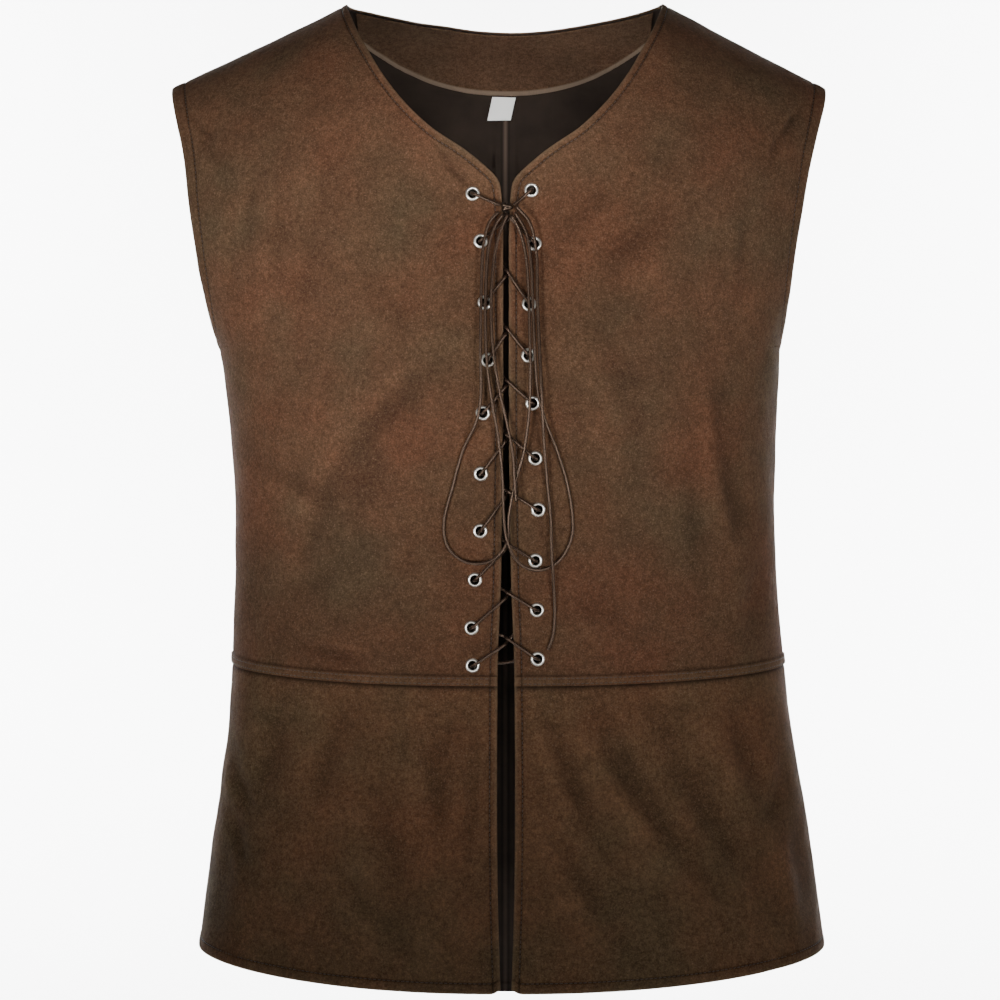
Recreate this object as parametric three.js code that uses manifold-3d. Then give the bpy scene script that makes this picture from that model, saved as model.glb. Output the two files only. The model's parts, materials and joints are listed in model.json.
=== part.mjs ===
// A laced jerkin of suede-like cloth, filled out as it is worn, with nobody in it.
// Millimetres. X runs to the wearer's left, the front faces -Y, and Z is up. The origin lies midway
// between the two shoulder seams' neck ends, where the shoulders carry the garment.
import * as THREE from "three";
import { mergeVertices } from "three/addons/utils/BufferGeometryUtils.js";
import Module from "manifold-3d";

const wasm = await Module();
wasm.setup();

// ---------------------------------------------------------------- driving sizes

const cloth = { wall: 1.8, seamGap: 0.3, across: 11 };
const shoulder = { neckHalf: 110.5, tipHalf: 230.2, drop: 59, round: 115 };
const armhole = { underarm: -243, share: 0.52, fullness: 3 };
const squareness = 2.4; // 2 would make each section an ellipse
const waist = { atFront: -469.5, atSide: -464, strip: 6.5, raised: 0.9 };
const hem = { atFront: -673, atSide: -662, atBack: -727, corner: 8 };
const backNeck = { drop: 12.3, power: 1.6 };
const facing = { depth: 52, atShoulder: 20, power: 2.2, below: 0.6, half: 98, wall: 1, clear: 1.1, across: 16 };
const label = { wide: 17.4, high: 16, top: -53.4, slant: 3.8, middle: -1, wall: 0.8, clear: 0.6 };
const eyelet = { bore: 2.75, barrel: 3.4, hole: 3.8, flange: 5, top: 1.2, round: 0.6, rear: 0.4, sides: 12 };
const cord = { radius: 1.05, sides: 8 };
const knot = { x: 0.6, z: -150.5, lift: 4.6, halfWide: 4.6, halfHigh: 3.6, halfDeep: 3 };

// Level sections of the cloth's outer face: half width, reach in front of and behind the side seams,
// and how far the sides lean to the wearer's left.
const sections = [
  { level: -727, half: 233, front: 143, back: 136, lean: 4.2 },
  { level: -673, half: 225, front: 138, back: 132, lean: 4.2 },
  { level: -600, half: 214, front: 130, back: 122, lean: 4.2 },
  { level: -530, half: 203.5, front: 122, back: 111, lean: 3.2 },
  { level: -470, half: 196.5, front: 117, back: 104, lean: 2 },
  { level: -415, half: 192, front: 119, back: 105, lean: 0.9 },
  { level: -350, half: 191, front: 124, back: 112, lean: -0.8 },
  { level: -285, half: 193.2, front: 128, back: 119, lean: -2.5 },
  { level: -243, half: 197, front: 127, back: 122, lean: -3.8 },
  { level: -190, half: 204, front: 122, back: 122, lean: -6 },
  { level: -137, half: 212, front: 116, back: 120, lean: -6.4 },
  { level: -102, half: 218.5, front: 112, back: 118, lean: -5.4 },
  { level: -59, half: 230.2, front: 108, back: 114, lean: -4.7 },
  { level: 0, half: 240, front: 104, back: 110, lean: -4.2 },
];

// Half of the open gap between the two front edges.
const frontGap = [
  { level: -673, half: 3.6 },
  { level: -611, half: 5.4 },
  { level: -545, half: 6 },
  { level: -478, half: 5.7 },
  { level: -445, half: 5.2 },
  { level: -411, half: 3.7 },
  { level: -384, half: 3 },
  { level: -311, half: 1.9 },
  { level: -285, half: 1.8 },
  { level: -140, half: 1.8 },
];

// Rows of a bodice panel above the waist strip. x and z follow its inner edge, up the centre and
// round the neckline, and outer is the row's level at the side seam or the armhole.
const straightRows = [-434, -393, -352, -312, -275];
const frontRows = [
  { z: -243, outer: -243 },
  { z: -227, outer: -241.5 },
  { z: -208, outer: -237.5 },
  { z: -187, outer: -230 },
  { z: -167, outer: -218 },
  { x: 2.6, z: -146, outer: -202 },
  { x: 4.6, z: -132.5, outer: -185 },
  { x: 10, z: -125.5, outer: -167 },
  { x: 27, z: -111, outer: -148 },
  { x: 50, z: -95, outer: -130 },
  { x: 68, z: -77, outer: -113 },
  { x: 82, z: -58.5, outer: -98 },
  { x: 92.5, z: -41, outer: -85 },
  { x: 100, z: -27, outer: -74 },
  { x: 105, z: -15.4, outer: -65.9 },
  { x: 108.4, z: -6.9, outer: -60.7 },
  { x: 110.2, z: -1.7, outer: -59.5 },
  { x: 110.5, z: 0, outer: -59 },
];
const backRows = [
  { z: -243, outer: -243 },
  { z: -226, outer: -241.5 },
  { z: -200, outer: -237 },
  { z: -172, outer: -228 },
  { z: -144, outer: -214 },
  { z: -117, outer: -197 },
  { z: -92, outer: -180 },
  { z: -71, outer: -164 },
  { z: -55, outer: -149 },
  { z: -40, outer: -134 },
  { z: -26, outer: -120 },
  { z: -backNeck.drop, outer: -107 },
  { x: 28, outer: -96 },
  { x: 52, outer: -86 },
  { x: 72, outer: -77 },
  { x: 88, outer: -69.5 },
  { x: 99, outer: -63.6 },
  { x: 106.5, outer: -60 },
  { x: 110.5, outer: -59 },
];
const skirtRows = [-505, -550, -600, -640];

// Ten pairs of eyelets down the front edges, as they sit on the worn garment.
const eyelets = [
  { rightX: -22.2, rightZ: -140.5, leftX: 16.9, leftZ: -138.3 },
  { rightX: -16.8, rightZ: -172, leftX: 19, leftZ: -173.8 },
  { rightX: -14.1, rightZ: -213, leftX: 15.3, leftZ: -214 },
  { rightX: -12, rightZ: -251.2, leftX: 14.8, leftZ: -248.2 },
  { rightX: -15.3, rightZ: -286.3, leftX: 17.6, leftZ: -279.8 },
  { rightX: -16.7, rightZ: -326.7, leftX: 19.5, leftZ: -316.3 },
  { rightX: -17.2, rightZ: -365, leftX: 21.4, leftZ: -350.6 },
  { rightX: -20.8, rightZ: -397.8, leftX: 19.6, leftZ: -384.7 },
  { rightX: -23.1, rightZ: -430.1, leftX: 20.7, leftZ: -418 },
  { rightX: -22.4, rightZ: -455.5, leftX: 21.2, leftZ: -451 },
];

// One lap of a strand: up out of an eyelet, over the cloth to the gap, down through it, and behind the
// other front to the next eyelet. at is the distance from the eyelet's centre, or sideways from the
// gap's. The two strands dive through the gap a little above and below each other.
const lap = {
  outOfEyelet: [
    { at: -1.1, lift: -0.7 },
    { at: -0.3, lift: 1.7 },
    { at: 2.4, lift: 3 },
    { at: 6.4, lift: 2.4 },
  ],
  ontoGap: [
    { at: 2.8, lift: 1.6 },
    { at: 0.3, lift: 0.9 },
  ],
  outOfGap: [
    { at: 0.3, lift: -2.9 },
    { at: 2.8, lift: -3.7 },
  ],
  behindEyelet: [
    { at: 4.9, lift: -4 },
    { at: 1.2, lift: -3.8 },
  ],
  apart: 2.1,
};
// Where the strands meet: behind the lowest pair, and at the knot.
const meeting = { inset: 3, lift: -4, middleLift: -6, sag: 1, besideKnot: 0.2, aboveKnot: 1.6 };

// The bow's hanging cords: places on the front, and how far each lies off the cloth's outer face.
const rightLoop = [
  { x: -4.9, z: -153.4, lift: 4.8 },
  { x: -11, z: -160.5, lift: 5.3 },
  { x: -14.8, z: -175, lift: 5.3 },
  { x: -16, z: -196, lift: 5.3 },
  { x: -16.6, z: -222, lift: 5.3 },
  { x: -16.8, z: -250, lift: 5.3 },
  { x: -16.6, z: -275, lift: 5.5 },
  { x: -19.6, z: -292, lift: 5.2 },
  { x: -28.5, z: -311, lift: 1.6 },
  { x: -35.6, z: -336, lift: 1.4 },
  { x: -41.3, z: -359, lift: 1.4 },
  { x: -39, z: -375, lift: 1.4 },
  { x: -29.5, z: -384.3, lift: 1.7 },
  { x: -18.5, z: -386.2, lift: 4.8 },
  { x: -8, z: -383, lift: 5.3 },
  { x: 0.6, z: -372, lift: 5.3 },
  { x: 1.8, z: -355, lift: 5.3 },
  { x: 5.8, z: -333, lift: 5.3 },
  { x: 11.6, z: -312, lift: 5.3 },
  { x: 15, z: -288, lift: 5.3 },
  { x: 16, z: -262, lift: 5.3 },
  { x: 15.6, z: -232, lift: 5.3 },
  { x: 14.8, z: -205, lift: 5.3 },
  { x: 12.8, z: -180, lift: 5.3 },
  { x: 8.4, z: -164.5, lift: 5.3 },
  { x: 3.8, z: -155.8, lift: 4.8 },
];
const leftLoop = [
  { x: -2, z: -155.2, lift: 4.8 },
  { x: -7.4, z: -163, lift: 5.3 },
  { x: -11.4, z: -177, lift: 5.3 },
  { x: -13.2, z: -200, lift: 5.3 },
  { x: -13.6, z: -228, lift: 5.3 },
  { x: -12.4, z: -255, lift: 5.3 },
  { x: -9, z: -280, lift: 5.3 },
  { x: -5, z: -303, lift: 5.3 },
  { x: -2.4, z: -328, lift: 5.5 },
  { x: -1.6, z: -352, lift: 7 },
  { x: 0.6, z: -370, lift: 7.9 },
  { x: 6.5, z: -383, lift: 6.6 },
  { x: 15.5, z: -389.5, lift: 5.4 },
  { x: 26, z: -389.8, lift: 3 },
  { x: 36.5, z: -383, lift: 1.5 },
  { x: 43.6, z: -368, lift: 1.4 },
  { x: 43.6, z: -350, lift: 1.4 },
  { x: 39.5, z: -329, lift: 1.4 },
  { x: 33, z: -309, lift: 2.6 },
  { x: 25.4, z: -290, lift: 5.3 },
  { x: 20.6, z: -270, lift: 5.3 },
  { x: 18.8, z: -245, lift: 5.3 },
  { x: 17.6, z: -215, lift: 5.3 },
  { x: 16.4, z: -187, lift: 5.3 },
  { x: 13, z: -166.5, lift: 5.3 },
  { x: 6.1, z: -153.9, lift: 4.8 },
];
const rightEnd = [
  { x: 0.9, z: -155.5, lift: 5.6 },
  { x: -3.6, z: -166, lift: 5.8 },
  { x: -7.6, z: -183, lift: 5.3 },
  { x: -9.8, z: -212, lift: 5.3 },
  { x: -8.6, z: -244, lift: 5.3 },
  { x: -4.6, z: -270, lift: 5.3 },
  { x: 0.6, z: -293, lift: 5.3 },
  { x: 4.6, z: -314, lift: 6.4 },
  { x: 5.6, z: -331, lift: 8 },
  { x: 6.6, z: -344.5, lift: 7.8 },
];
const leftEnd = [
  { x: 6.9, z: -150.2, lift: 6.2 },
  { x: 15.4, z: -160.5, lift: 6.8 },
  { x: 20, z: -180, lift: 5.3 },
  { x: 20.6, z: -208, lift: 5.3 },
  { x: 21.8, z: -240, lift: 5.3 },
  { x: 22.8, z: -264, lift: 7.6 },
  { x: 23.8, z: -286, lift: 8.1 },
  { x: 25, z: -306, lift: 5.5 },
  { x: 27.2, z: -332, lift: 3.4 },
  { x: 29.6, z: -356, lift: 3 },
  { x: 30, z: -376, lift: 4.6 },
  { x: 30.7, z: -388, lift: 5.3 },
  { x: 31.4, z: -400, lift: 3.9 },
  { x: 32.4, z: -418, lift: 1.5 },
  { x: 31.4, z: -434, lift: 1.4 },
  { x: 28, z: -444.5, lift: 1.4 },
];

// ---------------------------------------------------------------- the worn form

// A table's column at a level, on a smooth curve through its rows.
function along(table, level, column) {
  const last = table.length - 1;
  let i = 0;
  while (i < last - 1 && table[i + 1].level <= level) i += 1;
  const [a, b] = [table[i], table[i + 1]];
  const [before, after] = [table[Math.max(i - 1, 0)], table[Math.min(i + 2, last)]];
  const slope = (p, q) => ((q[column] - p[column]) / (q.level - p.level)) * (b.level - a.level);
  const t = (level - a.level) / (b.level - a.level);
  const [t2, t3] = [t * t, t * t * t];
  return (
    (2 * t3 - 3 * t2 + 1) * a[column] +
    (t3 - 2 * t2 + t) * slope(before, b) +
    (3 * t2 - 2 * t3) * b[column] +
    (t3 - t2) * slope(a, after)
  );
}

function clamp(value, low, high) {
  return Math.min(Math.max(value, low), high);
}

// The square of the distance from the side seams' plane to the outer face, at x and z. It falls to 0
// at the shoulder ridge and at the side, and runs on below 0 past them, so it has a slope there too.
function reachSquared(x, z, face) {
  const out = Math.abs(x);
  const fall = shoulder.drop / (shoulder.tipHalf - shoulder.neckHalf);
  const ridge = -fall * Math.max(0, out - shoulder.neckHalf);
  const below = Math.min(ridge - z, shoulder.round);
  const cap = 1 - (1 - below / shoulder.round) ** 2;
  const rise = clamp((-shoulder.drop - z) / (-shoulder.drop - armhole.underarm), 0, 1);
  const share = armhole.share * Math.sqrt(1 - rise ** armhole.fullness);
  const half = along(sections, z, "half") / (1 - share ** squareness) ** (1 / squareness);
  const left = 1 - (out / half) ** squareness;
  return along(sections, z, face) ** 2 * cap * Math.sign(left) * Math.abs(left) ** (2 / squareness);
}

// The point of the front or back at x and z, moved out from the outer face by lift.
function place(x, z, lift, face) {
  const step = 0.05;
  const toFace = face === "front" ? -1 : 1;
  const reach = Math.sqrt(Math.max(0, reachSquared(x, z, face)));
  const normal = new THREE.Vector3(
    (reachSquared(x - step, z, face) - reachSquared(x + step, z, face)) / (2 * step),
    2 * toFace * reach,
    (reachSquared(x, z - step, face) - reachSquared(x, z + step, face)) / (2 * step),
  ).normalize();
  const lean = along(sections, z, "lean") * (x / along(sections, z, "half")) ** 2;
  const seam = toFace * (cloth.seamGap / 2);
  return new THREE.Vector3(x + lean, toFace * reach + seam, z).addScaledVector(normal, lift);
}

// ---------------------------------------------------------------- making solids

// A closed wall between two grids of points with the same rows and columns.
function wallBetween(outer, inner) {
  const rows = outer.length;
  const columns = outer[0].length;
  const points = [...outer.flat(), ...inner.flat()];
  const at = (side, r, c) => side * rows * columns + r * columns + c;
  const faces = [];
  const quad = (a, b, c, d) => faces.push(a, b, c, a, c, d);
  for (let r = 0; r < rows - 1; r += 1) {
    for (let c = 0; c < columns - 1; c += 1) {
      quad(at(0, r, c), at(0, r, c + 1), at(0, r + 1, c + 1), at(0, r + 1, c));
      quad(at(1, r, c), at(1, r + 1, c), at(1, r + 1, c + 1), at(1, r, c + 1));
    }
  }
  for (let c = 0; c < columns - 1; c += 1) {
    quad(at(0, 0, c), at(1, 0, c), at(1, 0, c + 1), at(0, 0, c + 1));
    quad(at(0, rows - 1, c), at(0, rows - 1, c + 1), at(1, rows - 1, c + 1), at(1, rows - 1, c));
  }
  for (let r = 0; r < rows - 1; r += 1) {
    quad(at(0, r, 0), at(0, r + 1, 0), at(1, r + 1, 0), at(1, r, 0));
    quad(at(0, r, columns - 1), at(1, r, columns - 1), at(1, r + 1, columns - 1), at(0, r + 1, columns - 1));
  }
  const geometry = new THREE.BufferGeometry().setFromPoints(points);
  geometry.setIndex(faces);
  if (volumeOf(points, faces) < 0) geometry.setIndex(faces.reverse());
  return geometry;
}

function volumeOf(points, faces) {
  let volume = 0;
  for (let i = 0; i < faces.length; i += 3) {
    const [a, b, c] = faces.slice(i, i + 3).map((k) => points[k]);
    volume += a.dot(new THREE.Vector3().crossVectors(b, c)) / 6;
  }
  return volume;
}

function toSolid(geometry) {
  const bare = geometry.clone();
  bare.deleteAttribute("normal");
  bare.deleteAttribute("uv");
  const merged = mergeVertices(bare, 1e-4);
  return new wasm.Manifold(
    new wasm.Mesh({
      numProp: 3,
      vertProperties: merged.attributes.position.array,
      triVerts: new Uint32Array(merged.index.array),
    }),
  );
}

function toGeometry(solid) {
  const mesh = solid.getMesh();
  const geometry = new THREE.BufferGeometry();
  geometry.setAttribute("position", new THREE.BufferAttribute(mesh.vertProperties, 3));
  geometry.setIndex(new THREE.BufferAttribute(mesh.triVerts, 1));
  return geometry;
}

// ---------------------------------------------------------------- cloth panels

// One panel from its rows. Each row runs from the inner edge to the outer edge, in columns that
// crowd together towards the side, where the cloth turns fastest. A row may be raised, and bow says
// how late along the row its level changes.
function clothPanel(rows, face, side, columns) {
  const grid = (lift) =>
    rows.map((row) =>
      columns.map((g) => {
        const x = row.x + (row.outerX - row.x) * g;
        const corner = row.corner ? cornerLift(x - row.x) : 0;
        const z = row.z + (row.outer - row.z) * g ** row.bow + corner;
        return place(side * x, z, lift(row), face);
      }),
    );
  return wallBetween(
    grid((row) => row.raised ?? 0),
    grid(() => -cloth.wall),
  );
}

// A rounded lower corner, by how far x is from the front edge.
function cornerLift(fromEdge) {
  const short = Math.max(0, hem.corner - fromEdge);
  return hem.corner - Math.sqrt(hem.corner ** 2 - short ** 2);
}

function innerEdge(z, face) {
  return face === "front" ? along(frontGap, z, "half") : cloth.seamGap / 2;
}

function backNeckLevel(x) {
  return -backNeck.drop * (1 - Math.abs(x / shoulder.neckHalf) ** backNeck.power);
}

function fullRow(row, face) {
  const z = row.z ?? backNeckLevel(row.x);
  return {
    bow: 1,
    ...row,
    z,
    x: row.x ?? innerEdge(z, face),
    outerX: along(sections, row.outer, "half"),
  };
}

function bodiceRows(face) {
  const stripTop = waist.strip;
  const step = 0.6; // the height over which the strip falls back to the cloth
  const strip = [
    { z: waist.atFront, outer: waist.atSide, raised: waist.raised, bow: 2 },
    { z: waist.atFront + stripTop, outer: waist.atSide + stripTop, raised: waist.raised, bow: 2 },
    { z: waist.atFront + stripTop + step, outer: waist.atSide + stripTop + step, bow: 2 },
  ];
  const straight = straightRows.map((level) => ({ z: level, outer: level }));
  const upper = face === "front" ? frontRows : backRows;
  return [...strip, ...straight, ...upper].map((row) => fullRow(row, face));
}

function skirtPanelRows(face) {
  const top = -cloth.seamGap;
  const isFront = face === "front";
  const rows = [
    { z: isFront ? hem.atFront : hem.atBack, outer: hem.atSide, bow: 2, corner: isFront },
    ...skirtRows.toReversed().map((level) => ({ z: level, outer: level })),
    { z: waist.atFront + top, outer: waist.atSide + top, bow: 2 },
  ];
  return rows.map((row) => fullRow(row, face));
}

function columnsOf(face) {
  const even = Array.from({ length: cloth.across + 1 }, (_, i) =>
    Math.sin((i / cloth.across) * (Math.PI / 2)),
  );
  const edge = face === "front" ? [0.012, 0.037] : [];
  return [even[0], ...edge, ...even.slice(1)];
}

// ---------------------------------------------------------------- eyelets

function eyeletSeat(x, z) {
  const seat = place(x, z, 0, "front");
  const out = place(x, z, 1, "front").sub(seat);
  const turn = new THREE.Quaternion().setFromUnitVectors(new THREE.Vector3(0, 1, 0), out);
  return { seat, turn };
}

// A ring with a rounded flange on the cloth and a barrel down through it.
function eyeletRing() {
  const { bore, barrel, flange, top, round, rear } = eyelet;
  const profile = [
    [bore, -cloth.wall - rear],
    [barrel, -cloth.wall - rear],
    [barrel, cloth.seamGap],
    [flange, cloth.seamGap],
    [flange - round, top],
    [bore + round, top],
    [bore, -cloth.wall - rear],
  ].map(([r, y]) => new THREE.Vector2(r, y));
  return new THREE.LatheGeometry(profile, eyelet.sides);
}

function eyeletHole(x, z) {
  const depth = 8;
  const { seat, turn } = eyeletSeat(x, z);
  const drill = new THREE.CylinderGeometry(eyelet.hole, eyelet.hole, depth, eyelet.sides);
  return toSolid(drill.applyMatrix4(new THREE.Matrix4().compose(seat, turn, new THREE.Vector3(1, 1, 1))));
}

function withEyeletHoles(geometry, places) {
  let solid = toSolid(geometry);
  for (const [x, z] of places) solid = solid.subtract(eyeletHole(x, z));
  return toGeometry(solid);
}

// ---------------------------------------------------------------- lace

// A smooth route whose steps fall on its own points.
class Route extends THREE.CatmullRomCurve3 {
  getUtoTmapping(u) {
    return u;
  }
}

function laceTube(points) {
  const section = new THREE.Shape();
  for (let i = 0; i < cord.sides; i += 1) {
    const angle = (i / cord.sides) * 2 * Math.PI;
    const [x, y] = [cord.radius * Math.cos(angle), cord.radius * Math.sin(angle)];
    if (i === 0) section.moveTo(x, y);
    else section.lineTo(x, y);
  }
  section.closePath();
  return new THREE.ExtrudeGeometry(section, {
    steps: points.length - 1,
    bevelEnabled: false,
    extrudePath: new Route(points),
  });
}

function onFront(route) {
  return route.map(({ x, z, lift }) => place(x, z, lift, "front"));
}

// The places of one strand, from under the lowest eyelet of its starting side up to the knot. It
// comes up through an eyelet, runs over the cloth to the gap, dives through it, and goes under the
// other front to the next eyelet up.
function strandRoute(startSide) {
  const route = [];
  const hole = (side, i) =>
    side < 0
      ? { x: eyelets[i].rightX, z: eyelets[i].rightZ }
      : { x: eyelets[i].leftX, z: eyelets[i].leftZ };
  const addAlong = (from, toward, passes) => {
    const length = Math.hypot(toward.x - from.x, toward.z - from.z);
    for (const { at, lift } of passes) {
      const share = at / length;
      route.push({ x: from.x + (toward.x - from.x) * share, z: from.z + (toward.z - from.z) * share, lift });
    }
  };
  const addBeside = (gap, toward, passes) => {
    for (const { at, lift } of passes) {
      const share = at / Math.abs(toward.x - gap.x);
      route.push({ x: gap.x + (toward.x - gap.x) * share, z: gap.z + (toward.z - gap.z) * share, lift });
    }
  };
  let side = startSide;
  for (let i = eyelets.length - 1; i > 0; i -= 1) {
    const from = hole(side, i);
    const to = hole(-side, i - 1);
    const middle = (hole(1, i).z + hole(-1, i).z + hole(1, i - 1).z + hole(-1, i - 1).z) / 4;
    const gap = { x: 0, z: middle + side * lap.apart };
    addAlong(from, gap, lap.outOfEyelet);
    addBeside(gap, from, lap.ontoGap);
    addBeside(gap, to, lap.outOfGap);
    addAlong(to, gap, lap.behindEyelet);
    side = -side;
  }
  const end = { x: knot.x + side * (knot.halfWide + meeting.besideKnot), z: knot.z + meeting.aboveKnot };
  addAlong(hole(side, 0), end, lap.outOfEyelet);
  route.push({ ...end, lift: knot.lift });
  return route;
}

// Both strands are one lace, whose middle lies behind the lowest pair.
function lacingRoute() {
  const low = eyelets.at(-1);
  const middleZ = (low.rightZ + low.leftZ) / 2 - meeting.sag;
  const bar = [
    { x: low.rightX + meeting.inset, z: low.rightZ, lift: meeting.lift },
    { x: (low.rightX + low.leftX) / 2, z: middleZ, lift: meeting.middleLift },
    { x: low.leftX - meeting.inset, z: low.leftZ, lift: meeting.lift },
  ];
  return [...strandRoute(-1).toReversed(), ...bar, ...strandRoute(1)];
}

function laceKnot() {
  const ball = new THREE.SphereGeometry(1, 12, 8);
  ball.scale(knot.halfWide, knot.halfDeep, knot.halfHigh);
  return ball;
}

// ---------------------------------------------------------------- neck facing and label

function neckFacing() {
  const sides = Array.from({ length: facing.across + 1 }, (_, i) => (2 * i) / facing.across - 1);
  const grid = (lift) =>
    [0, 0.25, 0.5, 0.75, 1].map((down) =>
      sides.map((t) => {
        const x = facing.half * t;
        const top = backNeckLevel(x) - facing.below;
        const foot = -facing.depth + (facing.depth - facing.atShoulder) * Math.abs(t) ** facing.power;
        return place(x, top + (foot - top) * down, lift, "back");
      }),
    );
  const outside = -cloth.wall - facing.clear;
  return wallBetween(grid(outside), grid(outside - facing.wall));
}

function neckLabel() {
  const grid = (lift) =>
    [0, 0.5, 1].map((down) =>
      [-0.5, 0, 0.5].map((t) =>
        place(label.middle + label.wide * t - label.slant * down, label.top - label.high * down, lift, "back"),
      ),
    );
  const outside = -cloth.wall - label.clear;
  return wallBetween(grid(outside), grid(outside - label.wall));
}

// ---------------------------------------------------------------- the garment

const suede = { color: 0x583f2e, roughness: 0.9, metalness: 0 };
const suedeSkirt = { color: 0x4b3425, roughness: 0.9, metalness: 0 };
const brightMetal = { color: 0xd9d6cf, roughness: 0.28, metalness: 1 };
const laceCord = { color: 0x2e211b, roughness: 0.85, metalness: 0 };
const labelCloth = { color: 0xd8d4cb, roughness: 0.8, metalness: 0 };

const vest = new THREE.Group();

function addPiece(name, geometry, finish) {
  const mesh = new THREE.Mesh(geometry, new THREE.MeshStandardMaterial(finish));
  mesh.name = name;
  vest.add(mesh);
  return mesh;
}

for (const [hand, side] of [
  ["right", -1],
  ["left", 1],
]) {
  const holes = eyelets.map((pair) => (side < 0 ? [pair.rightX, pair.rightZ] : [pair.leftX, pair.leftZ]));
  const front = clothPanel(bodiceRows("front"), "front", side, columnsOf("front"));
  addPiece(`front_bodice_${hand}`, withEyeletHoles(front, holes), suede);
  addPiece(`back_bodice_${hand}`, clothPanel(bodiceRows("back"), "back", side, columnsOf("back")), suede);
  for (const face of ["front", "back"]) {
    const skirt = clothPanel(skirtPanelRows(face), face, side, columnsOf(face));
    addPiece(`${face}_skirt_${hand}`, skirt, suedeSkirt);
  }
  holes.forEach(([x, z], i) => {
    const ring = addPiece(`eyelet_${hand}_${String(i + 1).padStart(2, "0")}`, eyeletRing(), brightMetal);
    const { seat, turn } = eyeletSeat(x, z);
    ring.position.copy(seat);
    ring.quaternion.copy(turn);
  });
}

addPiece("back_neck_facing", neckFacing(), suede);
addPiece("neck_label", neckLabel(), labelCloth);
addPiece("lacing", laceTube(onFront(lacingRoute())), laceCord);
addPiece("lace_knot", laceKnot(), laceCord).position.copy(place(knot.x, knot.z, knot.lift, "front"));
addPiece("lace_loop_right", laceTube(onFront(rightLoop)), laceCord);
addPiece("lace_loop_left", laceTube(onFront(leftLoop)), laceCord);
addPiece("lace_end_right", laceTube(onFront(rightEnd)), laceCord);
addPiece("lace_end_left", laceTube(onFront(leftEnd)), laceCord);

export default vest;
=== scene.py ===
# %% [markdown]
# # A laced jerkin of suede-like cloth
#
# The garment stands filled out as it is worn, with nobody in it. Eight cut panels make a hollow
# body, a lace runs through twenty metal eyelets down the front, and a bow with two long loops hangs
# from the top. The frame holds every piece as a plain solid, so each one is dressed here in place:
# metres, X to the wearer's left, the front towards -Y, and Z up.

# %% Load the frame
import json
import math

import bpy
import numpy as np
from mathutils import Matrix, Vector

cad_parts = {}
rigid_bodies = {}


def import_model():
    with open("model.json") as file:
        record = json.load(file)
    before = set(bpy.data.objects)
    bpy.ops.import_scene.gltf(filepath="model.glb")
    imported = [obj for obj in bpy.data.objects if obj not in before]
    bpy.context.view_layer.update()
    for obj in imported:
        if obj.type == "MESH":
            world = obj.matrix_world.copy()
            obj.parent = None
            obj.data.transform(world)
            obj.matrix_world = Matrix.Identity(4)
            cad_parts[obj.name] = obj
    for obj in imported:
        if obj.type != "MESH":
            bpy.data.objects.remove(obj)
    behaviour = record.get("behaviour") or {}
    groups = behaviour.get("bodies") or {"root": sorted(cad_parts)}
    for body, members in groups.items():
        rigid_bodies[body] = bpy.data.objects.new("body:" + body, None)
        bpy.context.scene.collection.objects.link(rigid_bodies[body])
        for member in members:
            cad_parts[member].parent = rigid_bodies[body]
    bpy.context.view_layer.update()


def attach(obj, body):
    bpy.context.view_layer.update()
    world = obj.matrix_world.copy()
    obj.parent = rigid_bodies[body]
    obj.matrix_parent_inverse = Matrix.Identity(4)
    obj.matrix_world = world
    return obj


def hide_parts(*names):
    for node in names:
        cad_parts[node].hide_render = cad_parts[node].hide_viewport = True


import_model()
bpy.ops.object.select_all(action="DESELECT")

# %% [markdown]
# Three small helpers serve every piece that follows. One fixes a finished piece to the frame, in
# place of its solid, and two choose what Blender's tools work on.

# %% Helpers for every piece
def dress(piece, solid=None):
    """Fix a finished piece to the frame, in place of a solid where it has one."""
    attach(piece, "root")
    if solid:
        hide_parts(solid)


def pick(*pieces):
    """Leave only these selected, with the first one active."""
    bpy.ops.object.select_all(action="DESELECT")
    for piece in pieces:
        piece.select_set(True)
    bpy.context.view_layer.objects.active = pieces[0] if pieces else None


def edit_all():
    """Open the active piece in edit mode with everything selected."""
    bpy.ops.object.mode_set(mode="EDIT")
    bpy.ops.mesh.select_all(action="SELECT")


pick()
print("selected before the first piece:", len(bpy.context.selected_objects))

# %% [markdown]
# ## The camera
#
# A long lens a little under two metres away keeps the garment's sides nearly parallel. The camera
# stands at chest height and looks down by about two and a half degrees, so the inside of the back
# shows above the front neckline.

# %% Place the camera
STANDS_AT, LOOKS_DOWN = (-0.004, -1.945, -0.26705), 2.425
bpy.ops.object.camera_add(location=STANDS_AT, rotation=(math.radians(90 - LOOKS_DOWN), 0, 0))
camera = bpy.context.active_object
camera.name = "front_view"
camera.data.lens = 98.62
camera.data.sensor_width = 36
camera.data.sensor_fit = "HORIZONTAL"
bpy.context.scene.camera = camera
print("camera:", tuple(camera.location), "lens", camera.data.lens)

# %% [markdown]
# ## The worn form
#
# Cloth on a body has no flat places, so every panel, cord and eyelet here is laid on one smooth form
# instead of being placed by eye. Level sections give its half width and its depth before and behind
# the side seams. Between them a smooth curve runs through the rows of the table. These are
# millimetres, as on a paper pattern, and they become metres when a mesh is made.

# %% Sections of the form
MM = 0.001
WALL = 1.8
NECK_HALF, TIP_HALF, SHOULDER_DROP, SHOULDER_ROUND = 110.5, 230.2, 59, 115
UNDERARM, ARM_SHARE, ARM_FULLNESS = -243, 0.52, 3
SQUARENESS = 2.4

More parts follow.
